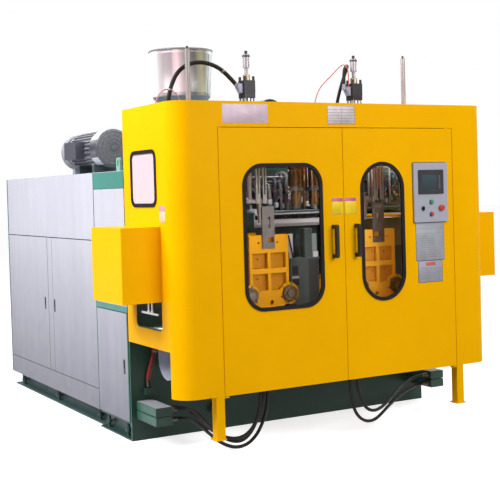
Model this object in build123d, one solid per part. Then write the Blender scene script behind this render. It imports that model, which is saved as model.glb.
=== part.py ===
from build123d import *
import math
import os

# Double-station blow moulding machine: base, cabinets, safety cover, extruder, clamps and blow units.
# Millimetres, Z up, floor at Z = 0, the machine's centreline at X = 0. While the pieces are made, Y = 0 is the
# front face of the safety cover and Y grows towards the rear; every piece is moved by the same amount when it
# is written, so that the origin lies under the middle of the machine.

# Overall sizes
COVER_WIDTH = 2443.0
COVER_TOP = 2200.0
COVER_BOTTOM = 387.0
COVER_DEPTH = 771.0
CORNER_RADIUS = 123.0
CABINET_TOP = 1804.0
NARROW_CABINET_REAR = 1335.0
CABINET_REAR = 3423.0
SKID_HEIGHT = 122.0
SKID_OVERHANG = 23.0

# Sheet metal and seams
SHEET = 3.0
SEAM = 4.0
PANEL_DEPTH = 20.0
SIDE_PANEL_BOTTOM = 670.0

# Front doors
DOOR_WIDTH = 915.0
DOOR_TOP = 2037.0
DOOR_DEPTH = 35.0
PIVOT_INSET = 8.0
PIVOT_RADIUS = 4.0
PIVOT_LENGTH = 30.0
PIN_CLEARANCE = 0.05

# Front windows: centre from the machine's centreline, size and corner radius of the rubber seal
WINDOW_CENTRE_Z = 1350.0
LEFT_WINDOW_X = -461.5
LEFT_WINDOW_WIDTH = 592.0
RIGHT_WINDOW_X = 312.5
RIGHT_WINDOW_WIDTH = 360.0
WINDOW_HEIGHT = 928.0
LEFT_WINDOW_CORNER = 142.0
RIGHT_WINDOW_CORNER = 179.0
SEAL_WIDTH = 24.0
SEAL_LIP = 6.0
SEAL_GRIP = 12.0
FIT = 0.2

# Door handles
HANDLE_X = 89.0
HANDLE_BOTTOM = 1195.0
HANDLE_TOP = 1408.0
HANDLE_PROUD = 45.0
HANDLE_BAR = 20.0

# Control panel on the right door
PANEL_X = 713.0
PANEL_WIDTH = 288.0
PANEL_BOTTOM = 1397.0
PANEL_TOP = 1803.0
PANEL_PROUD = 18.0
PANEL_BACK = 70.0
PANEL_LIP = 14.0
SCREEN_X = 709.5
SCREEN_Z = 1671.0
SCREEN_BEZEL_WIDTH = 215.0
SCREEN_BEZEL_HEIGHT = 165.0
SCREEN_WIDTH = 130.0
SCREEN_HEIGHT = 101.0
SCREEN_PROUD = 7.0
BUTTON_BORE = 9.0
BUTTON_SLEEVE = 11.0
COLLAR_RADIUS = 15.0
COLLAR_PROUD = 4.0
GREEN_BUTTON_X = 711.0
GREEN_BUTTON_Z = 1534.0
SELECTOR_X = 641.0
STOP_X = 795.0
LOWER_BUTTON_Z = 1492.0
RED_BUTTON_Z = 1450.0
BUTTON_TRAVEL = 4.0
STOP_TRAVEL = 5.0
MUSHROOM_RADIUS = 20.0

# Side window and side opening in the cover, from the cover's front face
SIDE_WINDOW_REAR = COVER_DEPTH - 122
SIDE_WINDOW_FRONT = SIDE_WINDOW_REAR - 394
SIDE_WINDOW_BOTTOM = 1559.0
SIDE_WINDOW_TOP = 1921.0
SIDE_WINDOW_CORNER = 60.0
SIDE_OPENING_REAR = COVER_DEPTH - 143
SIDE_OPENING_FRONT = SIDE_OPENING_REAR - 398
SIDE_OPENING_BOTTOM = 786.0
SIDE_OPENING_TOP = 1425.0
SIDE_OPENING_CORNER = 40.0
SIDE_BOX_REAR = COVER_DEPTH - 70
SIDE_BOX_FRONT = SIDE_BOX_REAR - 485
SIDE_BOX_BOTTOM = 973.0
SIDE_BOX_TOP = 1439.0
SIDE_BOX_PROUD = 266.0

# Cover frame
LEG_SIZE = 58.0
LEG_BOTTOM = 117.0
FOOT_WIDTH = 74.0
FOOT_THICKNESS = 9.0
BRACKET_THICKNESS = 8.0
BEAM_BOTTOM = COVER_TOP - 110
BEAM_TOP = COVER_TOP - 10
SHELF_THICKNESS = 20.0

# Stations: the moulds' pitch is also the carriages' stroke
STATION_PITCH = 438.0
MOULD_Y = COVER_DEPTH - 301
BEAM_FRONT = MOULD_Y - 140
BEAM_REAR = MOULD_Y - 80
STRAP_FRONT = MOULD_Y - 218
PIN_PITCH = 140.0
PLATEN_WIDTH = 296.0
PLATEN_BOTTOM = 873.0
PLATEN_TOP = 1353.0
PLATEN_FRONT = MOULD_Y - 233
PLATEN_THICKNESS = 45.0
PLATEN_STROKE = 100.0
PLATEN_POCKET = 30.0
POCKET_ROWS = ((990, 1102), (1135, 1236))
PLATEN_HOLES = ((-74, 1067), (27, 1067), (-74, 1197), (27, 1197), (-79, 1303), (63, 1303))
PLATEN_RIB = 22.0
EAR_RADIUS = 72.0
EAR_Z = 962.0
GUIDE_ROD_RADIUS = 25.0
ROD_CLEARANCE = 0.08
CLAMP_ROD_RADIUS = 12.5
CLAMP_ROD_X = 28.0
CLAMP_BLOCK_LENGTH = 150.0
CLAMP_Z = 905.0
CARRIAGE_WIDTH = 290.0
CARRIAGE_PLATE_BOTTOM = 800.0
CARRIAGE_PLATE_TOP = 840.0
UPRIGHT_REAR = COVER_DEPTH - 14
UPRIGHT_FRONT = UPRIGHT_REAR - 22
GUIDE_BAR_RADIUS = 25.0
LOWER_BAR_Z = 745.0
LOWER_BAR_FRONT_Y = COVER_DEPTH - 426
LOWER_BAR_REAR_Y = COVER_DEPTH - 131
UPPER_BAR_Z = 1435.0
UPPER_BAR_FRONT_Y = COVER_DEPTH - 116
UPPER_BAR_REAR_Y = COVER_DEPTH - 46
SLIDE_WALL = 16.0
BAR_END_X = 1195.0

# Blow units
BLOW_ROD_RADIUS = 13.5
BLOW_BARREL_RADIUS = 32.0
BLOW_HEAD_SIZE = 84.0
BLOW_HEAD_BOTTOM = 2299.0
BLOW_HEAD_TOP = 2383.0
GLAND_RADIUS = 24.5
GLAND_TOP = 2423.0
SLEEVE_RADIUS = 23.0
SLEEVE_BOTTOM = 2469.0
SLEEVE_TOP = 2560.0
TIP_RADIUS = 10.5
TIP_TOP = 2583.0
CROSSHEAD_Z = 1560.0
CROSSHEAD_THICKNESS = 26.0
BLOW_PIN_RADIUS = 11.0
BLOW_PIN_TIP = 1425.0
STRAP_BOTTOM = 1560.0
STRAP_THICKNESS = 10.0
OUTER_PITCH = 877.0
OUTER_BARREL_RADIUS = 26.0
OUTER_BARREL_TOP = 2196.0
OUTER_TUBE_RADIUS = 16.5
OUTER_TUBE_TOP = 2579.0
OUTER_TIP_TOP = 2597.0
OUTER_ROD_BOTTOM = 1960.0

# Extruder
EXTRUDER_Z = CABINET_TOP + 346
BARREL_RADIUS = 52.0
COVER_ARCH_RADIUS = 105.0
BARREL_COVER_TOP = EXTRUDER_Z + 160
HEAD_BLOCK_TOP = 2235.0
HEAD_BLOCK_BOTTOM = 1900.0
DIE_RADIUS = 44.0
NOZZLE_RADIUS = 26.0
DIE_FLANGE_Z = 1650.0
DIE_TIP_Z = 1514.0
BAND_THICKNESS = 10.0
HOPPER_Y = CABINET_REAR - 1103
HOPPER_RADIUS = 299.0
HOPPER_HEIGHT = 433.0
HOPPER_BOTTOM = EXTRUDER_Z + 299
HOPPER_TOP = HOPPER_BOTTOM + HOPPER_HEIGHT
BARREL_COVER_REAR = HOPPER_Y - 360
BARREL_COVER_FRONT = COVER_DEPTH + 131
PEDESTAL_Y = (BARREL_COVER_FRONT + 178, BARREL_COVER_REAR - 110)
HOPPER_WALL = 3.0
THROAT_RADIUS = 60.0
THROAT_TOP = EXTRUDER_Z + 95
GEARBOX_FRONT = HOPPER_Y + 320
GEARBOX_REAR = GEARBOX_FRONT + 340
GEARBOX_WIDTH = 380.0
GEARBOX_TOP = CABINET_TOP + 586
MOTOR_X = -666.0
MOTOR_Z = CABINET_TOP + 220
MOTOR_FRONT = HOPPER_Y - 47
MOTOR_RADIUS = 155.0
FIN_DEPTH = 17.0
FIN_COUNT = 28
GUARD_FRONT = GEARBOX_REAR + 30
GUARD_DEPTH = 110.0

# Hydraulic blocks beside the base
BLOCK_INNER_X = 1061.0
BLOCK_OUTER_X = 1179.0
BLOCK_FRONT = COVER_DEPTH - 308
BLOCK_BOTTOM = 145.0
BLOCK_HEIGHT = 58.0
BLOCK_GAP = 5.0

# Discharge chute: centre of the trough's round bottom at its high and low ends
CHUTE_HIGH_X = 120.0
CHUTE_HIGH_Z = 607.0
CHUTE_LOW_X = -1071.0
CHUTE_LOW_Z = 537.0
CHUTE_RADIUS = 110.0
CHUTE_Y = MOULD_Y + 50
CHUTE_WALL = 80.0
CHUTE_ARM_X = (-950.0, -100.0)

# Hose ends
ARC_SHARE = 0.45
STUB_RADIUS = 14.0
HOSE_START_X = 1036.0
HOSE_START_Y = BLOCK_FRONT + 42
MIDDLE_HOSE_Y = HOSE_START_Y + 65
RAIL_SIZE = 40.0
RAIL_BOTTOM = 565.0
RAIL_HOSE_X = (-620.0, -593.0, -565.0, 68.0, 125.0)
RAIL_HOSE_Y = 81.0
RAIL_HOSE_Z = 535.0
RAIL_STUB_RADIUS = 12.0
WALL_HOSE_Y = COVER_DEPTH - 20
WALL_HOSE_Z = 1745.0
WALL_HOSES = ((-980.0, 14.0), (360.0, 12.0), (180.0, 6.0), (-1045.0, 6.0))
RED_HOSE_X = -1040.0
RED_HOSE_TOP = 700.0
RED_HOSE_END_X = -1100.0
RED_HOSE_END_Z = 372.0
LEFT_ELBOW_X = -510.0
LEFT_ELBOW_Z = 2345.0
RIGHT_ELBOW_X = 352.0
TUBE_PORT_Y = MOULD_Y + 44
TUBE_PORT_Z = 2150.0

# Cabinet doors and panels
DOOR_SILL = 267.5
REAR_DOOR_TOP = 1326.0
NARROW_DOOR_TOP = 855.0
NARROW_BAND_TOP = 892.0
TOP_BAND_BOTTOM = 1687.0
MULLION_REAR = CABINET_REAR - 1041
MULLION_FRONT = MULLION_REAR - 109
FRAME_TUBE = 40.0
CABINET_DOOR_DEPTH = 16.0
CABINET_HANDLE_HEIGHT = 98.0
CABINET_HANDLE_WIDTH = 26.0

# Worked out from the sizes above
HALF_WIDTH = COVER_WIDTH / 2
DOOR_EDGE = SEAM / 2 + DOOR_WIDTH
BULKHEAD_REAR = COVER_DEPTH + 4 * SHEET
SKID_REAR = CABINET_REAR + SKID_OVERHANG
FRONT_REACH = HANDLE_PROUD + HANDLE_BAR / 2
MIDDLE_Y = (SKID_REAR - FRONT_REACH) / 2
REAR_PLATEN_FRONT = 2 * MOULD_Y - PLATEN_FRONT - PLATEN_THICKNESS


def block(x0, x1, y0, y1, z0, z1):
    """A rectangular block between two opposite corners."""
    return Pos((x0 + x1) / 2, (y0 + y1) / 2, (z0 + z1) / 2) * Box(x1 - x0, y1 - y0, z1 - z0)


def upright_rod(radius, x, y, z0, z1):
    """A round bar along Z."""
    return Pos(x, y, (z0 + z1) / 2) * Cylinder(radius, z1 - z0)


def cross_rod(radius, x0, x1, y, z):
    """A round bar along X."""
    return Pos((x0 + x1) / 2, y, z) * Rot(0, 90, 0) * Cylinder(radius, x1 - x0)


def depth_rod(radius, x, y0, y1, z):
    """A round bar along Y."""
    return Pos(x, (y0 + y1) / 2, z) * Rot(90, 0, 0) * Cylinder(radius, y1 - y0)


def mirrored(shape):
    """The same shape on the other side of the machine's centreline."""
    return mirror(shape, about=Plane.YZ)


def window_slab(x, z, width, height, corner, y0, y1):
    """A slab facing the front with rounded corners, from Y = y0 to y1."""
    outline = RectangleRounded(width, height, corner)
    return Pos(x, y1, z) * Rot(90, 0, 0) * extrude(outline, y1 - y0)


def side_slab(x0, x1, y, z, width, height, corner):
    """A slab facing sideways with rounded corners, from X = x0 to x1."""
    outline = RectangleRounded(width, height, corner)
    return Pos(x0, y, z) * Rot(0, 90, 0) * Rot(0, 0, 90) * extrude(outline, x1 - x0)


def save(name, *solids):
    """Write one named piece, moved so that the origin lies under the machine's middle."""
    placed = [Pos(0, -MIDDLE_Y, 0) * solid for solid in solids]
    shape = placed[0] if len(placed) == 1 else Compound(children=placed)
    shape.label = name
    export_step(shape, f"parts/{name}.step")


# Base

def front_base():
    """Bulkhead plate, its two side channels and rear channel, and the brackets of the guide bars."""
    edge = HALF_WIDTH - 5
    web = edge - 65
    flange = 10
    plate = block(-edge, edge, COVER_DEPTH, BULKHEAD_REAR, 0, CABINET_TOP - SHEET)
    side = block(-edge, -web, BULKHEAD_REAR, NARROW_CABINET_REAR, 0, SKID_HEIGHT)
    side -= block(-edge - 1, -web - flange, BULKHEAD_REAR, NARROW_CABINET_REAR + 1, flange, SKID_HEIGHT - flange)
    rear = block(-web, web, NARROW_CABINET_REAR - flange, NARROW_CABINET_REAR, 0, SKID_HEIGHT)
    base = plate + side + mirrored(side) + rear
    for x in (-BAR_END_X, BAR_END_X - 30):
        base += block(x, x + 30, LOWER_BAR_FRONT_Y - 45, COVER_DEPTH, LOWER_BAR_Z - 45, LOWER_BAR_Z + 35)
        base += block(x, x + 30, UPPER_BAR_FRONT_Y - 45, COVER_DEPTH, UPPER_BAR_Z - 45, UPPER_BAR_Z + 45)
    for y, z in guide_bar_places():
        base -= cross_rod(GUIDE_BAR_RADIUS, -BAR_END_X + 6, BAR_END_X - 6, y, z)
    y0 = WALL_HOSE_Y - 20
    for x, radius in WALL_HOSES:
        half = radius + 11
        base += block(x - half, x + half, y0, COVER_DEPTH, WALL_HOSE_Z - 65, WALL_HOSE_Z - 25)
        base += upright_rod(radius, x, WALL_HOSE_Y, WALL_HOSE_Z - 25, WALL_HOSE_Z)
    for x, z, side in ((RED_HOSE_X, RED_HOSE_TOP, 1), (RED_HOSE_END_X, RED_HOSE_END_Z, -1)):
        base += block(x - 25, x + 25, y0, COVER_DEPTH, *sorted((z + side * 25, z + side * 65)))
        base += upright_rod(RAIL_STUB_RADIUS, x, WALL_HOSE_Y, *sorted((z, z + side * 25)))
    return base


def rear_skid():
    """Two long channels and three cross plates under the rear cabinet, one solid each."""
    edge = HALF_WIDTH - 38
    web = edge - 65
    flange = 10
    start = NARROW_CABINET_REAR + 2
    side = block(-edge, -web, start, SKID_REAR, 0, SKID_HEIGHT)
    side -= block(-edge - 1, -web - flange, start - 1, SKID_REAR + 1, flange, SKID_HEIGHT - flange)
    members = [side, mirrored(side)]
    span = SKID_REAR - start
    for share in (0.0, 0.5, 1.0):
        y = start + share * (span - flange)
        members.append(block(-web, web, y, y + flange, 0, SKID_HEIGHT))
    return members


def levelling_bolts():
    """Jacking bolts standing on the lower flanges of the channels, one solid each."""
    bolts = []
    middle = (NARROW_CABINET_REAR + SKID_REAR) / 2
    places = [(HALF_WIDTH - 38, y) for y in (NARROW_CABINET_REAR + 165, middle + 9.5, SKID_REAR - 146)]
    places += [(HALF_WIDTH - 5, y) for y in (BULKHEAD_REAR + 122, NARROW_CABINET_REAR - 90)]
    for edge, y in places:
        bolt = upright_rod(11, -edge + 30, y, 10, SKID_HEIGHT - 10) + upright_rod(21, -edge + 30, y, 40, 62)
        bolts += [bolt, mirrored(bolt)]
    return bolts


# Cabinets

def cabinet_frame():
    """Tubes of the frame of both cabinets and the two green bands of each side, one solid each."""
    outer = HALF_WIDTH - PANEL_DEPTH
    inner = outer - FRAME_TUBE
    top = CABINET_TOP - SHEET
    rear = CABINET_REAR - PANEL_DEPTH
    half = FRAME_TUBE / 2
    mid = NARROW_CABINET_REAR + SEAM / 2
    posts = post_spans(mid, rear)
    low, high = SKID_HEIGHT + FRAME_TUBE, top - FRAME_TUBE
    rails = [(BULKHEAD_REAR, rear, SKID_HEIGHT, low), (BULKHEAD_REAR, rear, high, top)]
    rails += [(y0, y1, low, high) for y0, y1 in posts]
    bays = [(first[1], second[0]) for first, second in zip(posts, posts[1:])]
    rails.append((*bays[0], NARROW_DOOR_TOP, NARROW_DOOR_TOP + FRAME_TUBE))
    for bay in bays[1:]:
        rails += [(*bay, REAR_DOOR_TOP - half, REAR_DOOR_TOP + half), (*bay, DOOR_SILL - half, DOOR_SILL + half)]
    sides = [block(-outer, -inner, *rail) for rail in rails]
    front, back = BULKHEAD_REAR + 2, NARROW_CABINET_REAR - 2
    sides.append(block(-HALF_WIDTH, -outer, front, back, TOP_BAND_BOTTOM + 1, top))
    sides.append(block(-HALF_WIDTH, -outer, front, back, NARROW_DOOR_TOP + SEAM / 2, NARROW_BAND_TOP))
    frame = sides + [mirrored(s) for s in sides]
    for y0, y1 in posts:
        frame += [block(-inner, inner, y0, y1, high, top), block(-inner, inner, y0, y1, SKID_HEIGHT, low)]
    return frame


def post_spans(mid, rear):
    """Front and rear Y of each upright post of the cabinet frame."""
    half = FRAME_TUBE / 2
    return ((BULKHEAD_REAR, BULKHEAD_REAR + FRAME_TUBE), (mid - half, mid + half),
            (MULLION_FRONT + 18, MULLION_REAR - 18), (rear - FRAME_TUBE, rear))


def lifting_lugs():
    """Two plates with a slot on the narrow cabinet's roof."""
    outline = Pos(0, 48) * RectangleRounded(62, 96, 16) - Pos(0, 58) * SlotOverall(52, 22, rotation=90)
    plate = extrude(outline, 14)
    lug = Plane(origin=(-HALF_WIDTH + 92, 1085, CABINET_TOP), x_dir=(0, 1, 0), z_dir=(1, 0, 0)) * plate
    return [lug, mirrored(lug)]


def barrel_pedestals():
    """Two stands between the cabinet roof and the extruder barrel."""
    stands = []
    for y in PEDESTAL_Y:
        stand = block(-70, 70, y - 40, y + 40, CABINET_TOP, EXTRUDER_Z - 10)
        stand -= block(-50, 50, y - 41, y + 41, CABINET_TOP + 20, EXTRUDER_Z - 90)
        stand -= depth_rod(BARREL_RADIUS, 0, y - 41, y + 41, EXTRUDER_Z)
        stands.append(stand)
    return stands


def side_pan(y0, y1, z0, z1, depth=PANEL_DEPTH):
    """A folded panel on the left face, open on its inner side."""
    pan = block(-HALF_WIDTH, -HALF_WIDTH + depth, y0, y1, z0, z1)
    hollow = block(-HALF_WIDTH + SHEET, -HALF_WIDTH + depth + 1, y0 + SHEET, y1 - SHEET, z0 + SHEET, z1 - SHEET)
    return pan - hollow


def cabinet_panels():
    """Fixed panels of both sides, the rear and the roof, one solid each."""
    gap = SEAM / 2
    top = CABINET_TOP - SHEET
    front, middle, rear = BULKHEAD_REAR + gap, NARROW_CABINET_REAR, CABINET_REAR - gap
    upper_narrow = side_pan(front, middle - gap, NARROW_BAND_TOP + gap, TOP_BAND_BOTTOM - gap)
    upper_rear = side_pan(middle + gap, rear, REAR_DOOR_TOP + gap, top)
    plinth = side_pan(middle + gap, rear, SKID_HEIGHT, DOOR_SILL - gap)
    mullion = side_pan(MULLION_FRONT + gap, MULLION_REAR - gap, DOOR_SILL + gap, REAR_DOOR_TOP - gap)
    lower_narrow = side_pan(front, middle - gap, SKID_HEIGHT, NARROW_DOOR_TOP - gap)
    lower_rear = side_pan(middle + gap, rear, DOOR_SILL + gap, REAR_DOOR_TOP - gap)
    left = [upper_narrow, upper_rear, plinth, mullion]
    right = [mirrored(s) for s in (upper_narrow, upper_rear, plinth, lower_narrow, lower_rear)]
    return left + right + [rear_panel(), roof()]


def rear_panel():
    """Folded rear panel with two banks of cooling slots."""
    edge = HALF_WIDTH - PANEL_DEPTH - 1
    top = CABINET_TOP - SHEET
    y0, y1 = CABINET_REAR - PANEL_DEPTH, CABINET_REAR
    pan = block(-edge, edge, y0, y1, SKID_HEIGHT, top)
    pan -= block(-edge + SHEET, edge - SHEET, y0 - 1, y1 - SHEET, SKID_HEIGHT + SHEET, top - SHEET)
    for x in (-600, 600):
        for row in range(6):
            z = 1350 + 45 * row
            pan -= block(x - 180, x + 180, y1 - SHEET - 1, y1 + 1, z, z + 14)
    return pan


def roof():
    """Roof sheet over both cabinets."""
    return block(-HALF_WIDTH, HALF_WIDTH, BULKHEAD_REAR, CABINET_REAR, CABINET_TOP - SHEET, CABINET_TOP)


def cabinet_door(y0, y1, z0, z1, hinge_at_rear, handle_y, handle_z):
    """A folded door on the left face with its pivot bushes and its black swing handle."""
    door = side_pan(y0, y1, z0, z1, CABINET_DOOR_DEPTH)
    pin_y = y1 - PIVOT_INSET if hinge_at_rear else y0 + PIVOT_INSET
    pin_x = -HALF_WIDTH + PIVOT_INSET
    for bush in ((z0, z0 + PIVOT_LENGTH), (z1 - PIVOT_LENGTH, z1)):
        door += block(pin_x - PIVOT_INSET, pin_x + PIVOT_INSET, pin_y - PIVOT_INSET, pin_y + PIVOT_INSET, *bush)
        door -= upright_rod(PIVOT_RADIUS + PIN_CLEARANCE, pin_x, pin_y, bush[0] - 1, bush[1] + 1)
    half_w, half_h = CABINET_HANDLE_WIDTH / 2, CABINET_HANDLE_HEIGHT / 2
    door -= block(-HALF_WIDTH - 1, -HALF_WIDTH + SHEET + 1, handle_y - half_w + 3, handle_y + half_w - 3,
                  handle_z - half_h + 3, handle_z + half_h - 3)
    handle = side_slab(-HALF_WIDTH - 2, -HALF_WIDTH, handle_y, handle_z, CABINET_HANDLE_WIDTH,
                       CABINET_HANDLE_HEIGHT, 5)
    handle += block(-HALF_WIDTH, -HALF_WIDTH + PANEL_DEPTH - 2, handle_y - half_w + 3.2, handle_y + half_w - 3.2,
                    handle_z - half_h + 3.2, handle_z + half_h - 3.2)
    handle -= side_slab(-HALF_WIDTH - 3, -HALF_WIDTH + 9, handle_y, handle_z + 14, 14, 52, 4)
    return door, handle


def cabinet_pins():
    """Hinge pins of the three cabinet doors, each with a small plate in the seam beside the door's end."""
    x = -HALF_WIDTH + PIVOT_INSET
    outer = -HALF_WIDTH + PANEL_DEPTH
    gap = SEAM / 2
    narrow_y = NARROW_CABINET_REAR - gap - PIVOT_INSET
    front_y = NARROW_CABINET_REAR + gap + PIVOT_INSET
    back_y = CABINET_REAR - gap - PIVOT_INSET
    pins = []
    for y, reach, low, high in (
        (narrow_y, 6, SKID_HEIGHT + SEAM, NARROW_DOOR_TOP - gap),
        (front_y, 6, DOOR_SILL + gap, REAR_DOOR_TOP - gap),
        (back_y, 18, DOOR_SILL + gap, REAR_DOOR_TOP - gap),
    ):
        for end, side in ((low, -1), (high, 1)):
            plate_z = end + side * (SEAM - SHEET) / 2
            pin_z = end - side * (PIVOT_LENGTH - 2)
            plate = block(x - 5, outer + 0.8, y - reach, y + 6, min(plate_z, plate_z + side * SHEET),
                          max(plate_z, plate_z + side * SHEET))
            pin = upright_rod(PIVOT_RADIUS, x, y, min(pin_z, plate_z), max(pin_z, plate_z))
            pins.append(plate + pin)
    return pins


# Safety cover

def front_fascia():
    """Header and two corner posts, folded round the rounded front corners, with the upper door pivots."""
    back = CORNER_RADIUS + SEAM
    outline = Pos(0, back) * Rectangle(COVER_WIDTH, 2 * back)
    outline = fillet(outline.vertices(), CORNER_RADIUS)
    inner = offset(outline, -SHEET)
    lower_half = Pos(0, back / 2) * Rectangle(COVER_WIDTH + 2, back)
    plan = (outline - inner) & lower_half
    shell = Pos(0, 0, COVER_BOTTOM) * extrude(plan, COVER_TOP - COVER_BOTTOM)
    opening = DOOR_EDGE + SEAM
    shell -= block(-opening, opening, -1, SHEET + 1, COVER_BOTTOM - 1, DOOR_TOP + SEAM)
    shell += block(-opening, opening, 0, DOOR_DEPTH, DOOR_TOP + SEAM, DOOR_TOP + SEAM + SHEET)
    pin_x = DOOR_EDGE - PIVOT_INSET
    for x in (-pin_x, pin_x):
        shell += upright_rod(PIVOT_RADIUS, x, PIVOT_INSET, DOOR_TOP - PIVOT_LENGTH + 2, DOOR_TOP + SEAM)
    return shell


def side_panel():
    """Left side panel with its window and side openings and folded rear and lower edges."""
    front = CORNER_RADIUS + SEAM
    x0, x1 = -HALF_WIDTH, -HALF_WIDTH + SHEET
    panel = block(x0, x1, front, COVER_DEPTH, SIDE_PANEL_BOTTOM, COVER_TOP)
    panel += block(x1, x1 + 22, COVER_DEPTH - SHEET, COVER_DEPTH, SIDE_PANEL_BOTTOM, COVER_TOP)
    panel += block(x1, x1 + 22, front, COVER_DEPTH, SIDE_PANEL_BOTTOM, SIDE_PANEL_BOTTOM + SHEET)
    panel += block(x1, x1 + 22, front, COVER_DEPTH, COVER_TOP - SHEET, COVER_TOP)
    width = SIDE_WINDOW_REAR - SIDE_WINDOW_FRONT
    height = SIDE_WINDOW_TOP - SIDE_WINDOW_BOTTOM
    y = (SIDE_WINDOW_REAR + SIDE_WINDOW_FRONT) / 2
    z = (SIDE_WINDOW_TOP + SIDE_WINDOW_BOTTOM) / 2
    grip = 2 * SEAL_GRIP
    panel -= side_slab(x0 - 1, x1 + 1, y, z, width - grip, height - grip, SIDE_WINDOW_CORNER - SEAL_GRIP)
    y = (SIDE_OPENING_REAR + SIDE_OPENING_FRONT) / 2
    z = (SIDE_OPENING_TOP + SIDE_OPENING_BOTTOM) / 2
    width = SIDE_OPENING_REAR - SIDE_OPENING_FRONT
    height = SIDE_OPENING_TOP - SIDE_OPENING_BOTTOM
    panel -= side_slab(x0 - 1, x1 + 1, y, z, width, height, SIDE_OPENING_CORNER)
    return panel


def side_box():
    """Folded box on the left side panel, open towards the machine."""
    outer = -HALF_WIDTH - SIDE_BOX_PROUD
    box = block(outer, -HALF_WIDTH, SIDE_BOX_FRONT, SIDE_BOX_REAR, SIDE_BOX_BOTTOM, SIDE_BOX_TOP)
    box -= block(outer + SHEET, -HALF_WIDTH + 1, SIDE_BOX_FRONT + SHEET, SIDE_BOX_REAR - SHEET,
                 SIDE_BOX_BOTTOM + SHEET, SIDE_BOX_TOP - SHEET)
    return box


def side_seal():
    """Rubber profile of the left side window, gripping the sheet and the pane."""
    width = SIDE_WINDOW_REAR - SIDE_WINDOW_FRONT
    height = SIDE_WINDOW_TOP - SIDE_WINDOW_BOTTOM
    y = (SIDE_WINDOW_REAR + SIDE_WINDOW_FRONT) / 2
    z = (SIDE_WINDOW_TOP + SIDE_WINDOW_BOTTOM) / 2
    x0, x1 = -HALF_WIDTH, -HALF_WIDTH + SHEET

    def ring(a, b, outside, inside):
        big = side_slab(a, b, y, z, width - 2 * outside, height - 2 * outside, SIDE_WINDOW_CORNER - outside)
        hole = side_slab(a - 1, b + 1, y, z, width - 2 * inside, height - 2 * inside, SIDE_WINDOW_CORNER - inside)
        return big - hole

    seal = ring(x0 - SEAL_LIP, x0 - FIT, 0, SEAL_WIDTH)
    seal += ring(x0 - FIT, x1 + FIT, SEAL_GRIP + FIT, SEAL_GRIP + 2)
    seal += ring(x1 + FIT, x1 + SEAL_LIP, 0, SEAL_WIDTH)
    inset = 2 * (SEAL_GRIP + 2 + FIT)
    corner = SIDE_WINDOW_CORNER - SEAL_GRIP - 2 - FIT
    pane = side_slab(x0, x1, y, z, width - inset, height - inset, corner)
    return seal, pane


def cover_frame():
    """Two yellow legs, the beam behind the header and the shelves that carry the blow units."""
    outer = DOOR_EDGE + SEAM + LEG_SIZE
    inner = DOOR_EDGE + SEAM
    leg = block(-outer, -inner, SHEET, SHEET + LEG_SIZE, LEG_BOTTOM + FOOT_THICKNESS, BEAM_TOP)
    leg += block(-outer - 10, -outer - 10 + FOOT_WIDTH, SHEET - 4, SHEET + FOOT_WIDTH, LEG_BOTTOM,
                 LEG_BOTTOM + FOOT_THICKNESS)
    leg += block(-outer, -inner, SHEET + LEG_SIZE, BEAM_FRONT, BEAM_BOTTOM + 20, BEAM_TOP)
    bracket_top = COVER_BOTTOM - SEAM
    leg += block(-inner, -inner + 34, SHEET, DOOR_DEPTH, bracket_top - BRACKET_THICKNESS, bracket_top)
    pin_x = DOOR_EDGE - PIVOT_INSET
    leg += upright_rod(PIVOT_RADIUS, -pin_x, PIVOT_INSET, bracket_top - 1, COVER_BOTTOM + PIVOT_LENGTH - 2)
    frame = leg + mirrored(leg)
    beam_half = HALF_WIDTH - SHEET
    frame += block(-beam_half, beam_half, BEAM_FRONT, BEAM_REAR, BEAM_BOTTOM, BEAM_TOP)
    frame -= block(-beam_half - 1, beam_half + 1, BEAM_FRONT + 5, BEAM_REAR - 5, BEAM_BOTTOM + 5, BEAM_TOP - 5)
    shelf_z = BEAM_BOTTOM
    for x, half in ((STATION_PITCH, 75), (OUTER_PITCH, 45)):
        for side in (-1, 1):
            frame += block(side * x - half, side * x + half, BEAM_REAR, MOULD_Y + 60, shelf_z,
                           shelf_z + SHELF_THICKNESS)
            bore = BLOW_ROD_RADIUS if x == STATION_PITCH else OUTER_TUBE_RADIUS
            frame -= upright_rod(bore + ROD_CLEARANCE, side * x, MOULD_Y, shelf_z - 1,
                                 shelf_z + SHELF_THICKNESS + 1)
    for side in (-1, 1):
        frame += block(side * STATION_PITCH - 75, side * STATION_PITCH + 75, STRAP_FRONT - 2, BEAM_FRONT, shelf_z,
                       shelf_z + SHELF_THICKNESS)
    back = SHEET + LEG_SIZE
    frame += block(-outer, outer, back, back + RAIL_SIZE, RAIL_BOTTOM, RAIL_BOTTOM + RAIL_SIZE)
    frame -= block(-outer - 1, outer + 1, back + 4, back + RAIL_SIZE - 4, RAIL_BOTTOM + 4, RAIL_BOTTOM + RAIL_SIZE - 4)
    for x in RAIL_HOSE_X:
        frame += upright_rod(RAIL_STUB_RADIUS, x, RAIL_HOSE_Y, RAIL_HOSE_Z, RAIL_BOTTOM)
    return frame


# Front doors

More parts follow.
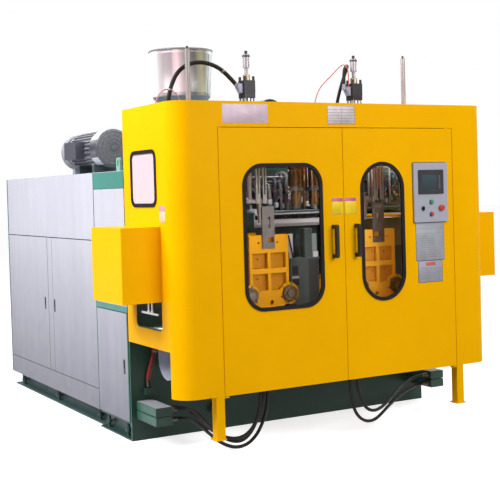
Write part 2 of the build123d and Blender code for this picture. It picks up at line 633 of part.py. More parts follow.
def front_door(window_x, window_width, corner):
    """A folded front door on the left, open at the back, with its pivot bushes."""
    x0, x1 = -DOOR_EDGE, -SEAM / 2
    door = block(x0, x1, 0, DOOR_DEPTH, COVER_BOTTOM, DOOR_TOP)
    door -= block(x0 + SHEET, x1 - SHEET, SHEET, DOOR_DEPTH + 1, COVER_BOTTOM + SHEET, DOOR_TOP - SHEET)
    pin_x = x0 + PIVOT_INSET
    for z0, z1 in ((COVER_BOTTOM, COVER_BOTTOM + PIVOT_LENGTH), (DOOR_TOP - PIVOT_LENGTH, DOOR_TOP)):
        door += block(x0, x0 + 2 * PIVOT_INSET, 0, 2 * PIVOT_INSET, z0, z1)
        door -= upright_rod(PIVOT_RADIUS + PIN_CLEARANCE, pin_x, PIVOT_INSET, z0 - 1, z1 + 1)
    cut = 2 * SEAL_GRIP
    door -= window_slab(window_x, WINDOW_CENTRE_Z, window_width - cut, WINDOW_HEIGHT - cut, corner - SEAL_GRIP,
                        -1, SHEET + 1)
    return door


def window_seal(x, width, corner):
    """Rubber profile round a front window, gripping the door sheet and the pane."""
    def ring(y0, y1, outside, inside):
        big = window_slab(x, WINDOW_CENTRE_Z, width - 2 * outside, WINDOW_HEIGHT - 2 * outside,
                          corner - outside, y0, y1)
        hole = window_slab(x, WINDOW_CENTRE_Z, width - 2 * inside, WINDOW_HEIGHT - 2 * inside,
                           corner - inside, y0 - 1, y1 + 1)
        return big - hole

    seal = ring(-SEAL_LIP, -FIT, 0, SEAL_WIDTH)
    seal += ring(-FIT, SHEET + FIT, SEAL_GRIP + FIT, SEAL_GRIP + 2)
    seal += ring(SHEET + FIT, SHEET + SEAL_LIP, 0, SEAL_WIDTH)
    return seal


def window_pane(x, width, corner):
    """Clear pane held by the seal."""
    inset = SEAL_GRIP + 2 + FIT
    return window_slab(x, WINDOW_CENTRE_Z, width - 2 * inset, WINDOW_HEIGHT - 2 * inset, corner - inset, 0, SHEET)


def pull_handle(x):
    """Bent round bar with its two feet on the door sheet."""
    radius = HANDLE_BAR / 2
    reach = -HANDLE_PROUD
    z0, z1 = HANDLE_BOTTOM + radius, HANDLE_TOP - radius
    path = FilletPolyline((x, 0, z0), (x, reach, z0), (x, reach, z1), (x, 0, z1), radius=18)
    section = Plane(origin=(x, 0, z0), z_dir=(0, -1, 0)) * Circle(radius)
    return sweep(section, path=path)


def control_panel():
    """Grey panel box with its screen cut-out and button holes, and the four button collars."""
    z = (PANEL_BOTTOM + PANEL_TOP) / 2
    height = PANEL_TOP - PANEL_BOTTOM
    body = window_slab(PANEL_X, z, PANEL_WIDTH, height, 8, -PANEL_PROUD, 0)
    lip = 2 * PANEL_LIP
    body += block(PANEL_X - PANEL_WIDTH / 2 + PANEL_LIP, PANEL_X + PANEL_WIDTH / 2 - PANEL_LIP, 0, PANEL_BACK,
                  PANEL_BOTTOM + PANEL_LIP, PANEL_TOP - PANEL_LIP)
    wall = 2.0
    inside = PANEL_LIP + wall
    body -= block(PANEL_X - PANEL_WIDTH / 2 + inside, PANEL_X + PANEL_WIDTH / 2 - inside, -PANEL_PROUD + wall,
                  PANEL_BACK - wall, PANEL_BOTTOM + inside, PANEL_TOP - inside)
    body -= block(SCREEN_X - SCREEN_BEZEL_WIDTH / 2 + 8, SCREEN_X + SCREEN_BEZEL_WIDTH / 2 - 8, -PANEL_PROUD - 1,
                  -PANEL_PROUD + wall + 1, SCREEN_Z - SCREEN_BEZEL_HEIGHT / 2 + 8, SCREEN_Z + SCREEN_BEZEL_HEIGHT / 2 - 8)
    collars = []
    for x, zb in button_places():
        body -= depth_rod(BUTTON_SLEEVE + FIT, x, -PANEL_PROUD - 1, -PANEL_PROUD + wall + 1, zb)
        collar = depth_rod(COLLAR_RADIUS, x, -PANEL_PROUD - COLLAR_PROUD, -PANEL_PROUD, zb)
        collar += depth_rod(BUTTON_SLEEVE, x, -PANEL_PROUD, 10, zb)
        collar -= depth_rod(BUTTON_BORE + PIN_CLEARANCE, x, -PANEL_PROUD - COLLAR_PROUD - 1, 11, zb)
        collars.append(collar)
    return [body] + collars


def button_places():
    """X and Z of the green button, selector, stop button and red button."""
    return ((GREEN_BUTTON_X, GREEN_BUTTON_Z), (SELECTOR_X, LOWER_BUTTON_Z), (STOP_X, LOWER_BUTTON_Z),
            (GREEN_BUTTON_X, RED_BUTTON_Z))


def touch_screen():
    """Black bezel with the display set into it."""
    y0 = -PANEL_PROUD - SCREEN_PROUD
    bezel = window_slab(SCREEN_X, SCREEN_Z, SCREEN_BEZEL_WIDTH, SCREEN_BEZEL_HEIGHT, 6, y0, -PANEL_PROUD)
    bezel += block(SCREEN_X - SCREEN_BEZEL_WIDTH / 2 + 9, SCREEN_X + SCREEN_BEZEL_WIDTH / 2 - 9, -PANEL_PROUD, 20,
                   SCREEN_Z - SCREEN_BEZEL_HEIGHT / 2 + 9, SCREEN_Z + SCREEN_BEZEL_HEIGHT / 2 - 9)
    x = SCREEN_X - 12
    bezel -= block(x - SCREEN_WIDTH / 2, x + SCREEN_WIDTH / 2, y0 - 1, y0 + 3,
                   SCREEN_Z - SCREEN_HEIGHT / 2, SCREEN_Z + SCREEN_HEIGHT / 2)
    display = block(x - SCREEN_WIDTH / 2 + FIT, x + SCREEN_WIDTH / 2 - FIT, y0 + 1.2, y0 + 3,
                    SCREEN_Z - SCREEN_HEIGHT / 2 + FIT, SCREEN_Z + SCREEN_HEIGHT / 2 - FIT)
    return [bezel, display]


def push_button(x, z):
    """Flat push button with its stem in the collar."""
    face = -PANEL_PROUD - COLLAR_PROUD
    return depth_rod(BUTTON_BORE, x, face - BUTTON_TRAVEL - 1, 0, z)


def stop_button():
    """Red mushroom head on its stem."""
    face = -PANEL_PROUD - COLLAR_PROUD - STOP_TRAVEL - 1
    head = depth_rod(MUSHROOM_RADIUS, STOP_X, face - 14, face, LOWER_BUTTON_Z)
    head = fillet(head.edges().filter_by(GeomType.CIRCLE).sort_by(Axis.Y)[0], 8)
    return head + depth_rod(BUTTON_BORE, STOP_X, face, 0, LOWER_BUTTON_Z)


def selector_switch():
    """Round knob with a raised grip bar."""
    face = -PANEL_PROUD - COLLAR_PROUD - 1
    knob = depth_rod(13, SELECTOR_X, face - 5, face, LOWER_BUTTON_Z)
    knob += window_slab(SELECTOR_X, LOWER_BUTTON_Z, 9, 24, 3, face - 17, face - 5)
    return knob + depth_rod(BUTTON_BORE, SELECTOR_X, face, 0, LOWER_BUTTON_Z)


# Clamps

def guide_bar_places():
    """Y and Z of the four bars that the carriages run on."""
    return ((LOWER_BAR_FRONT_Y, LOWER_BAR_Z), (LOWER_BAR_REAR_Y, LOWER_BAR_Z),
            (UPPER_BAR_FRONT_Y, UPPER_BAR_Z), (UPPER_BAR_REAR_Y, UPPER_BAR_Z))


def guide_bars():
    """Four ground bars across the machine."""
    return [cross_rod(GUIDE_BAR_RADIUS, -BAR_END_X + 6, BAR_END_X - 6, y, z) for y, z in guide_bar_places()]


def carriage():
    """Left carriage: base plate, slide blocks, rear upright and the block with both clamp cylinders."""
    x = -STATION_PITCH
    half = CARRIAGE_WIDTH / 2
    body = block(x - half, x + half, LOWER_BAR_FRONT_Y - 55, UPRIGHT_REAR, CARRIAGE_PLATE_BOTTOM,
                 CARRIAGE_PLATE_TOP)
    body += block(x - half, x + half, UPRIGHT_FRONT, UPRIGHT_REAR, CARRIAGE_PLATE_BOTTOM, UPPER_BAR_Z)
    reach = GUIDE_BAR_RADIUS + SLIDE_WALL
    for y in (LOWER_BAR_FRONT_Y, LOWER_BAR_REAR_Y):
        body += block(x - half, x + half, y - reach, y + reach, LOWER_BAR_Z - reach, CARRIAGE_PLATE_BOTTOM)
    body += block(x - half, x + half, UPPER_BAR_FRONT_Y - reach, UPRIGHT_REAR, UPPER_BAR_Z - reach,
                  UPPER_BAR_Z + reach)
    for y, z in guide_bar_places():
        body -= cross_rod(GUIDE_BAR_RADIUS + ROD_CLEARANCE, x - half - 1, x + half + 1, y, z)
    start = MOULD_Y - CLAMP_BLOCK_LENGTH / 2
    body += block(x - 55, x + 55, start, start + CLAMP_BLOCK_LENGTH, CARRIAGE_PLATE_TOP, CLAMP_Z + 28)
    for side in (-1, 1):
        body -= depth_rod(CLAMP_ROD_RADIUS + ROD_CLEARANCE, x + side * CLAMP_ROD_X, start - 1,
                          start + CLAMP_BLOCK_LENGTH + 1, CLAMP_Z)
        rod_x = x + side * PLATEN_WIDTH / 2
        body -= depth_rod(GUIDE_ROD_RADIUS, rod_x, UPRIGHT_FRONT - 1, UPRIGHT_REAR + 1, EAR_Z)
    return body


def guide_rods():
    """The left carriage's two rods, fixed in its upright, that the platens slide on."""
    rods = []
    for side in (-1, 1):
        x = -STATION_PITCH + side * PLATEN_WIDTH / 2
        rods.append(depth_rod(GUIDE_ROD_RADIUS, x, PLATEN_FRONT - 24, UPRIGHT_REAR, EAR_Z))
    return rods


def platen_body(y0, y1, outer_face_at_front):
    """Ribbed casting of a left platen with its two ears bored for the guide rods."""
    x = -STATION_PITCH
    half = PLATEN_WIDTH / 2
    lower = PLATEN_BOTTOM
    profile = Pos(0, (PLATEN_TOP + lower) / 2) * Rectangle(PLATEN_WIDTH, PLATEN_TOP - lower)
    bottom = profile.vertices().sort_by(Axis.Y)[0:2]
    profile = chamfer(bottom, 50)
    for side in (-1, 1):
        profile += Pos(side * half, EAR_Z) * Circle(EAR_RADIUS)
    body = Pos(x, y1, 0) * Rot(90, 0, 0) * extrude(profile, y1 - y0)
    pocket_w = (PLATEN_WIDTH - 3 * PLATEN_RIB) / 2
    for low, high in POCKET_ROWS:
        for side in (-1, 1):
            cx = x + side * (pocket_w + PLATEN_RIB) / 2
            a, b = (y0 - 1, y0 + PLATEN_POCKET) if outer_face_at_front else (y1 - PLATEN_POCKET, y1 + 1)
            body -= block(cx - pocket_w / 2, cx + pocket_w / 2, a, b, low, high)
    for side in (-1, 1):
        rod_x = x + side * half
        body += depth_rod(EAR_RADIUS, rod_x, y0, y1, EAR_Z)
        body -= depth_rod(GUIDE_ROD_RADIUS + ROD_CLEARANCE, rod_x, y0 - 1, y1 + 1, EAR_Z)
    for hole_x, hole_z in PLATEN_HOLES:
        body -= depth_rod(7, x + hole_x, y0 - 1, y1 + 1, hole_z)
    return body


def front_platen():
    """Front platen of the left station, its neck bracket, bearing flanges and clamp rod."""
    y0, y1 = PLATEN_FRONT, PLATEN_FRONT + PLATEN_THICKNESS
    x = -STATION_PITCH
    body = platen_body(y0, y1, True)
    body -= depth_rod(15, x + 13, y0 - 1, y1 + 1, CLAMP_Z + 5)
    body += block(x - 52, x + 40, y0 - 12, y0, PLATEN_TOP - 88, STRAP_BOTTOM - 20)
    body -= block(x - 8, x + 8, y0 - 13, y0 + 1, 1400, 1470)
    body -= block(x - 12, x + 32, y0 - 13, y0 + 20, PLATEN_TOP - 48, PLATEN_TOP - 14)
    flanges = []
    for side in (-1, 1):
        rod_x = x + side * PLATEN_WIDTH / 2
        flange = depth_rod(EAR_RADIUS - 18, rod_x, y0 - 16, y0, EAR_Z)
        flange -= depth_rod(GUIDE_ROD_RADIUS + ROD_CLEARANCE, rod_x, y0 - 17, y0 + 1, EAR_Z)
        flanges.append(flange)
    start = MOULD_Y - CLAMP_BLOCK_LENGTH / 2
    rod = depth_rod(CLAMP_ROD_RADIUS, x - CLAMP_ROD_X, y1, start + 20, CLAMP_Z)
    return [body] + flanges + [rod]


def rear_platen():
    """Rear platen of the left station and its clamp rod."""
    y0, y1 = REAR_PLATEN_FRONT, REAR_PLATEN_FRONT + PLATEN_THICKNESS
    body = platen_body(y0, y1, False)
    end = MOULD_Y + CLAMP_BLOCK_LENGTH / 2
    rod = depth_rod(CLAMP_ROD_RADIUS, -STATION_PITCH + CLAMP_ROD_X, end - 20, y0, CLAMP_Z)
    return [body, rod]


# Blow units

def blow_cylinder():
    """Left blow cylinder: barrel, head, gland, tie rods with nuts, port bracket and the two straps."""
    x, y = -STATION_PITCH, MOULD_Y
    foot = BEAM_BOTTOM + SHELF_THICKNESS
    half = BLOW_HEAD_SIZE / 2
    unit = block(x - half, x + half, y - half, y + half, foot, foot + 25)
    unit += upright_rod(BLOW_BARREL_RADIUS, x, y, foot + 25, BLOW_HEAD_BOTTOM)
    unit += block(x - half, x + half, y - half, y + half, BLOW_HEAD_BOTTOM, BLOW_HEAD_TOP)
    unit += upright_rod(GLAND_RADIUS, x, y, BLOW_HEAD_TOP, GLAND_TOP)
    wedge = Pos(x - half, y, BLOW_HEAD_BOTTOM) * Rot(90, 0, 0) * extrude(
        Polygon((0, 0), (0, 62), (-36, 62), (-36, 40), (-14, 0), align=None), 24, both=True)
    unit += wedge
    unit -= upright_rod(BLOW_ROD_RADIUS + ROD_CLEARANCE, x, y, foot - 1, GLAND_TOP + 1)
    rods = []
    for dx in (-1, 1):
        for dy in (-1, 1):
            px, py = x + dx * (half - 9), y + dy * (half - 9)
            rods.append(upright_rod(7, px, py, foot + 25, BLOW_HEAD_BOTTOM))
            rods.append(upright_rod(9, px, py, BLOW_HEAD_TOP, BLOW_HEAD_TOP + 27))
    straps = []
    for centre, width in ((x - 60, 33), (x - 10, 30)):
        strap = block(centre - width / 2, centre + width / 2, STRAP_FRONT, STRAP_FRONT + STRAP_THICKNESS,
                      STRAP_BOTTOM, BEAM_BOTTOM)
        strap -= block(centre - 5, centre + 5, STRAP_FRONT - 1, STRAP_FRONT + STRAP_THICKNESS + 1, STRAP_BOTTOM + 60,
                       STRAP_BOTTOM + 240)
        straps.append(strap)
    return [unit, rods, straps]


def blow_units():
    """Both blow cylinders, with the hose fitting on the left side of each."""
    units = []
    for side in (-1, 1):
        unit, rods, straps = blow_cylinder()
        if side < 0:
            unit += Pos(LEFT_ELBOW_X, MOULD_Y, LEFT_ELBOW_Z) * Rot(0, -45, 0) * Cylinder(STUB_RADIUS, 50)
        else:
            unit = Pos(2 * STATION_PITCH, 0, 0) * unit
            unit += block(RIGHT_ELBOW_X - 12, RIGHT_ELBOW_X + 12, MOULD_Y - 12, MOULD_Y + 12, 2339, 2361)
            unit += upright_rod(STUB_RADIUS - 2, RIGHT_ELBOW_X, MOULD_Y, 2361, 2380)
            rods = [Pos(2 * STATION_PITCH, 0, 0) * rod for rod in rods]
            straps = [mirrored(strap) for strap in straps]
        units += [unit] + rods + straps
    return units


def blow_pin():
    """Left blow rod with its stroke sleeve and tip, the crosshead and two blow pins."""
    x, y = -STATION_PITCH, MOULD_Y
    rod = upright_rod(BLOW_ROD_RADIUS, x, y, CROSSHEAD_Z + CROSSHEAD_THICKNESS, SLEEVE_BOTTOM)
    rod += upright_rod(SLEEVE_RADIUS, x, y, SLEEVE_BOTTOM, SLEEVE_TOP)
    rod += upright_rod(SLEEVE_RADIUS + 4, x, y, SLEEVE_TOP - 18, SLEEVE_TOP - 8)
    rod += upright_rod(TIP_RADIUS, x, y, SLEEVE_TOP, TIP_TOP)
    half = PIN_PITCH / 2
    rod += block(x - half - 25, x + half + 25, y - 28, y + 28, CROSSHEAD_Z, CROSSHEAD_Z + CROSSHEAD_THICKNESS)
    pins = []
    for side in (-1, 1):
        pin = upright_rod(BLOW_PIN_RADIUS, x + side * half, y, BLOW_PIN_TIP, CROSSHEAD_Z)
        pin += upright_rod(18, x + side * half, y, CROSSHEAD_Z - 40, CROSSHEAD_Z)
        pins.append(pin)
    return [rod] + pins


def outer_cylinder():
    """Left outer air cylinder on its shelf."""
    x, y = -OUTER_PITCH, MOULD_Y
    foot = BEAM_BOTTOM + SHELF_THICKNESS
    unit = block(x - 30, x + 30, y - 30, y + 30, foot, foot + 20)
    unit += upright_rod(OUTER_BARREL_RADIUS, x, y, foot + 20, OUTER_BARREL_TOP)
    unit += upright_rod(OUTER_BARREL_RADIUS + 7, x, y, OUTER_BARREL_TOP - 40, OUTER_BARREL_TOP)
    unit += depth_rod(7, x, y, TUBE_PORT_Y, TUBE_PORT_Z)
    unit -= upright_rod(OUTER_TUBE_RADIUS + ROD_CLEARANCE, x, y, foot - 1, OUTER_BARREL_TOP + 1)
    return unit


def outer_rod():
    """Left outer rod with its upper tube, tip and lower pad."""
    x, y = -OUTER_PITCH, MOULD_Y
    rod = upright_rod(OUTER_TUBE_RADIUS, x, y, OUTER_ROD_BOTTOM, OUTER_TUBE_TOP)
    rod += upright_rod(8, x, y, OUTER_TUBE_TOP, OUTER_TIP_TOP)
    rod += upright_rod(32, x, y, OUTER_ROD_BOTTOM - 16, OUTER_ROD_BOTTOM)
    return rod


# Extruder

def die_head():
    """Head block under the extruder's nose with two dies hanging from it."""
    head = block(-75, 75, MOULD_Y - 50, MOULD_Y + 110, HEAD_BLOCK_BOTTOM + 120, HEAD_BLOCK_TOP)
    head += block(-125, 125, MOULD_Y - 60, MOULD_Y + 60, HEAD_BLOCK_BOTTOM, HEAD_BLOCK_BOTTOM + 120)
    for side in (-1, 1):
        x = side * PIN_PITCH / 2
        head += upright_rod(DIE_RADIUS, x, MOULD_Y, DIE_FLANGE_Z, HEAD_BLOCK_BOTTOM)
        head += upright_rod(DIE_RADIUS + 14, x, MOULD_Y, DIE_FLANGE_Z - 12, DIE_FLANGE_Z + 6)
        head += upright_rod(NOZZLE_RADIUS, x, MOULD_Y, DIE_TIP_Z, DIE_FLANGE_Z)
        head -= upright_rod(NOZZLE_RADIUS - 12, x, MOULD_Y, DIE_TIP_Z - 1, DIE_TIP_Z + 40)
    return head


def heater_bands():
    """Clamped heater bands round both dies and their nozzles."""
    bands = []
    for side in (-1, 1):
        x = side * PIN_PITCH / 2
        for inner, z0, z1 in ((DIE_RADIUS, 1670, 1770), (DIE_RADIUS, 1782, 1882), (NOZZLE_RADIUS, 1540, 1625)):
            band = upright_rod(inner + BAND_THICKNESS, x, MOULD_Y, z0, z1)
            band -= upright_rod(inner + FIT, x, MOULD_Y, z0 - 1, z1 + 1)
            bands.append(band)
    return bands


def extruder_barrel():
    """Heated barrel with its nose flange and feed throat."""
    front = MOULD_Y + 110
    barrel = depth_rod(BARREL_RADIUS, 0, front, GEARBOX_FRONT, EXTRUDER_Z)
    barrel += depth_rod(BARREL_RADIUS + 28, 0, front, front + 30, EXTRUDER_Z)
    barrel += block(-85, 85, HOPPER_Y - 90, HOPPER_Y + 90, EXTRUDER_Z - 85, THROAT_TOP)
    barrel += depth_rod(BARREL_RADIUS + 50, 0, GEARBOX_FRONT - 40, GEARBOX_FRONT, EXTRUDER_Z)
    barrel -= upright_rod(THROAT_RADIUS - 8, 0, HOPPER_Y, EXTRUDER_Z + 20, THROAT_TOP + 1)
    return barrel


def barrel_cover():
    """Arched sheet cover over the barrel, open below and at both ends."""
    half = COVER_ARCH_RADIUS
    bottom = EXTRUDER_Z - 40
    centre = BARREL_COVER_TOP - half
    outer = Pos(0, centre) * Circle(half) + Pos(0, (centre + bottom) / 2) * Rectangle(2 * half, centre - bottom)
    inner = (Pos(0, centre) * Circle(half - SHEET)
             + Pos(0, (centre + bottom) / 2 - 5) * Rectangle(2 * half - 2 * SHEET, centre - bottom + 10))
    profile = (outer - inner) & (Pos(0, (BARREL_COVER_TOP + bottom) / 2) * Rectangle(3 * half, BARREL_COVER_TOP - bottom))
    length = BARREL_COVER_REAR - BARREL_COVER_FRONT
    cover = Pos(0, BARREL_COVER_REAR, 0) * Rot(90, 0, 0) * extrude(profile, length)
    for y in PEDESTAL_Y:
        cover += block(-half + 1, -70, y - 20, y + 20, bottom, bottom + SHEET)
        cover += block(70, half - 1, y - 20, y + 20, bottom, bottom + SHEET)
    return cover


def hopper():
    """Stainless hopper, open at the top, with a rolled rim, cone and throat flange."""
    r, w = HOPPER_RADIUS, HOPPER_WALL
    t = THROAT_RADIUS
    flange = THROAT_TOP + 12
    wall = Polyline((t - w, THROAT_TOP), (t + 22, THROAT_TOP), (t + 22, flange), (t, flange), (r, HOPPER_BOTTOM),
                    (r, HOPPER_TOP - 14), (r + 5, HOPPER_TOP - 14), (r + 5, HOPPER_TOP), (r - w, HOPPER_TOP),
                    (r - w, HOPPER_BOTTOM + 1), (t - w, flange + 1), (t - w, THROAT_TOP))
    profile = Plane.XZ * make_face(wall)
    return Pos(0, HOPPER_Y, 0) * revolve(profile, Axis.Z)


def gearbox():
    """Gearbox housing with a rounded top and its input shaft boss."""
    half = GEARBOX_WIDTH / 2
    profile = Pos(0, (CABINET_TOP + GEARBOX_TOP) / 2) * Rectangle(GEARBOX_WIDTH, GEARBOX_TOP - CABINET_TOP)
    profile = fillet(profile.vertices().sort_by(Axis.Y)[2:4], half * 0.6)
    body = Pos(0, GEARBOX_REAR, 0) * Rot(90, 0, 0) * extrude(profile, GEARBOX_REAR - GEARBOX_FRONT)
    body += block(-half - 40, half + 40, GEARBOX_FRONT + 20, GEARBOX_REAR - 20, CABINET_TOP, CABINET_TOP + 25)
    body += depth_rod(70, 0, GEARBOX_REAR, GUARD_FRONT, MOTOR_Z)
    return body


def drive_motor():
    """Finned motor with its fan cowl, end shield, feet and terminal box."""
    x, z = MOTOR_X, MOTOR_Z
    r = MOTOR_RADIUS
    cowl_end = MOTOR_FRONT + 150
    body_end = MOTOR_FRONT + 640
    star = Circle(r - FIN_DEPTH)
    for i in range(FIN_COUNT):
        star += Rot(0, 0, 360 * i / FIN_COUNT) * (Pos(r - FIN_DEPTH / 2 - 2, 0) * Rectangle(FIN_DEPTH + 3, 6))
    body = Pos(x, body_end, z) * Rot(90, 0, 0) * extrude(star, body_end - cowl_end)
    body += depth_rod(r - 4, x, body_end, body_end + 30, z)
    body += depth_rod(62, x, body_end + 30, GUARD_FRONT, z)
    cowl = depth_rod(r + 3, x, MOTOR_FRONT, cowl_end, z)
    cowl = fillet(cowl.edges().filter_by(GeomType.CIRCLE).sort_by(Axis.Y)[0], 18)
    body += cowl
    for y in (cowl_end + 60, body_end - 90):
        foot = block(x - 150, x + 150, y - 30, y + 30, CABINET_TOP, CABINET_TOP + 28)
        foot += block(x - 105, x + 105, y - 24, y + 24, CABINET_TOP + 28, z - r + 40)
        body += foot
    box = block(x - r - 62, x - r + 20, body_end - 330, body_end - 60, z - 75, z + 70)
    return body + box


def belt_guard():
    """Closed sheet guard over the belt drive between motor and gearbox, standing on the roof."""
    big, small = 190.0, 150.0
    circles = Pos(MOTOR_X, MOTOR_Z) * Circle(small), Pos(0, MOTOR_Z + 5) * Circle(big)
    outline = make_hull(ShapeList(edge for circle in circles for edge in circle.edges()))
    guard = Pos(0, GUARD_FRONT + GUARD_DEPTH, 0) * Rot(90, 0, 0) * extrude(outline, GUARD_DEPTH)
    for x in (MOTOR_X, 0):
        guard += block(x - 60, x + 60, GUARD_FRONT + 20, GUARD_FRONT + 80, CABINET_TOP, MOTOR_Z)
    return guard


def discharge_chute():
    """Round-bottomed sheet trough below the carriages, falling to the left side, on two arms from the bulkhead."""
    length = math.hypot(CHUTE_HIGH_X - CHUTE_LOW_X, CHUTE_HIGH_Z - CHUTE_LOW_Z)
    slope = math.degrees(math.atan2(CHUTE_HIGH_Z - CHUTE_LOW_Z, CHUTE_HIGH_X - CHUTE_LOW_X))
    inside = CHUTE_RADIUS - SHEET
    profile = Circle(CHUTE_RADIUS) + Pos(0, CHUTE_WALL / 2) * Rectangle(2 * CHUTE_RADIUS, CHUTE_WALL)
    profile -= Circle(inside)
    profile -= Pos(0, CHUTE_RADIUS) * Rectangle(2 * inside, 2 * CHUTE_RADIUS)
    trough = extrude(Plane.YZ * profile, length / 2, both=True)
    middle = Pos((CHUTE_HIGH_X + CHUTE_LOW_X) / 2, CHUTE_Y, (CHUTE_HIGH_Z + CHUTE_LOW_Z) / 2)
    chute = middle * Rot(0, -slope, 0) * trough
    for x in CHUTE_ARM_X:
        z = CHUTE_LOW_Z + (x - CHUTE_LOW_X) * math.tan(math.radians(slope)) + CHUTE_WALL / 2
        chute += block(x - 20, x + 20, CHUTE_Y + inside, COVER_DEPTH, z - 15, z + 15)
    return chute


def valve_blocks():
    """Two stacked blocks on each side in front of the bulkhead."""
    blocks = []
    for row in range(2):
        z = BLOCK_BOTTOM + row * (BLOCK_HEIGHT + BLOCK_GAP)
        bar = block(-BLOCK_OUTER_X, -BLOCK_INNER_X, BLOCK_FRONT, COVER_DEPTH, z, z + BLOCK_HEIGHT)
        bar = chamfer(bar.edges().filter_by(Axis.Y), 4)
        port = cross_rod(STUB_RADIUS, -BLOCK_INNER_X, -HOSE_START_X, HOSE_START_Y, z + BLOCK_HEIGHT / 2)
        blocks.append(mirrored(bar + port))
        if row:
            port += Pos(0, MIDDLE_HOSE_Y - HOSE_START_Y, 0) * port
        blocks.append(bar + port)
    return blocks


# Hoses

def hose(name, diameter, points):
    """Write one hose as a tube through its bend points, and print its radii, length and volume."""
    runs = [Vector(*b) - Vector(*a) for a, b in zip(points, points[1:])]
    radii = []
    for first, second in zip(runs, runs[1:]):
        turn = math.radians(first.get_angle(second))
        radii.append(ARC_SHARE * min(first.length, second.length) / math.tan(turn / 2))
    path = FilletPolyline(*points, radius=radii)
    tube = sweep(Plane(origin=points[0], z_dir=runs[0]) * Circle(diameter / 2), path=path)
    expected = path.length * math.pi * diameter ** 2 / 4
    print(name, "radii", [round(r) for r in radii], "length", round(path.length),
          "volume over section times length", round(tube.volume / expected, 3))
    save(name, tube)


def hoses():
    """Every hose from its fitting to its fitting."""
    up = (RAIL_HOSE_Y, RAIL_HOSE_Z)
    hose("left_hose_upper", 22, [
        (-1036, 505, 237), (-984, 505, 237), (-938, 472, 231), (-918, 408, 217), (-914, 320, 185),
        (-908, 226, 150), (-886, 140, 115), (-832, 96, 96), (-765, 87, 95), (-705, 85, 124),
        (-660, 85, 178), (-632, 83, 262), (-621, 81, 355), (-620, 81, 445), (-620, *up)])
    hose("left_hose_middle", 22, [
        (-1036, 570, 237), (-984, 570, 237), (-938, 537, 230), (-918, 474, 213), (-914, 384, 180),
        (-904, 290, 148), (-886, 196, 118), (-850, 132, 88), (-796, 114, 68), (-738, 112, 70),
        (-684, 114, 106), (-644, 112, 168), (-612, 100, 255), (-597, 86, 345), (-593, 81, 440), (-593, *up)])
    hose("left_hose_lower", 22, [
        (-1036, 505, 174), (-984, 505, 174), (-938, 472, 167), (-919, 408, 153), (-915, 318, 132),
        (-910, 226, 106), (-888, 144, 72), (-832, 102, 42), (-764, 94, 35), (-700, 88, 58),
        (-644, 84, 112), (-602, 82, 190), (-574, 81, 280), (-566, 81, 370), (-565, 81, 453), (-565, *up)])
    hose("right_hose_outer", 22, [
        (1036, 505, 174), (970, 505, 174), (888, 480, 165), (770, 422, 148), (646, 352, 128),
        (525, 276, 106), (414, 204, 80), (318, 146, 62), (235, 112, 62), (165, 96, 88),
        (112, 86, 140), (82, 83, 216), (70, 81, 305), (68.5, 81, 395), (68, 81, 466), (68, *up)])
    hose("right_hose_inner", 22, [
        (1036, 505, 237), (970, 505, 237), (888, 484, 225), (775, 430, 203), (655, 356, 179),
        (545, 276, 157), (445, 204, 142), (355, 144, 132), (276, 107, 130), (212, 92, 153),
        (166, 85, 204), (138, 82, 276), (127, 81, 358), (125, 81, 447), (125, *up)])
    hose("red_air_hose", 20, [
        (RED_HOSE_X, WALL_HOSE_Y, RED_HOSE_TOP), (-1040, 751, 640), (-1058, 744, 560), (-1084, 744, 480),
        (-1100, 751, 420), (RED_HOSE_END_X, WALL_HOSE_Y, RED_HOSE_END_Z)])
    hose("left_top_hose", 28, [
        (-527.68, 470, 2362.68), (-586, 470, 2421), (-655, 478, 2472), (-735, 495, 2499), (-820, 520, 2498),
        (-900, 540, 2455), (-950, 552, 2375), (-976, 560, 2275), (-985, 580, 2160), (-986, 620, 2050),
        (-983, 668, 1955), (-981, 724, 1868), (-980, 751, 1800), (-980, 751, WALL_HOSE_Z)])
    hose("right_top_hose", 24, [
        (352, 470, 2380), (352, 470, 2430), (363, 476, 2484), (392, 494, 2514), (425, 524, 2516),
        (435, 560, 2484), (425, 586, 2425), (405, 598, 2352), (385, 605, 2270), (370, 618, 2170),
        (362, 652, 2058), (360, 706, 1945), (360, 742, 1850), (360, 751, 1790), (360, 751, WALL_HOSE_Z)])
    hose("orange_air_tube", 7, [
        (385, 458, 2361), (385, 458, 2412), (384, 459, 2462), (380, 461, 2498), (354, 472, 2522),
        (324, 490, 2498), (284, 520, 2446), (248, 548, 2404), (216, 570, 2362), (194, 586, 2308),
        (184, 598, 2240), (181, 616, 2165), (180, 642, 2085), (180, 674, 2000), (180, 712, 1912),
        (180, 742, 1835), (180, 751, 1790), (180, 751, WALL_HOSE_Z)])
    hose("pink_air_tube", 7, [
        (-1045, 751, WALL_HOSE_Z), (-1045, 751, 1795), (-1046, 741, 1850), (-1050, 718, 1932), (-1054, 688, 2020),
        (-1057, 656, 2108),
        (-1056, 624, 2188), (-1046, 604, 2254), (-1020, 598, 2304), (-978, 596, 2330), (-934, 592, 2322),
        (-902, 588, 2294), (-884, 586, 2250), (-878, 584, 2203), (-877, 568, 2170), (-877, 540, 2150),
        (-877, TUBE_PORT_Y, TUBE_PORT_Z)])


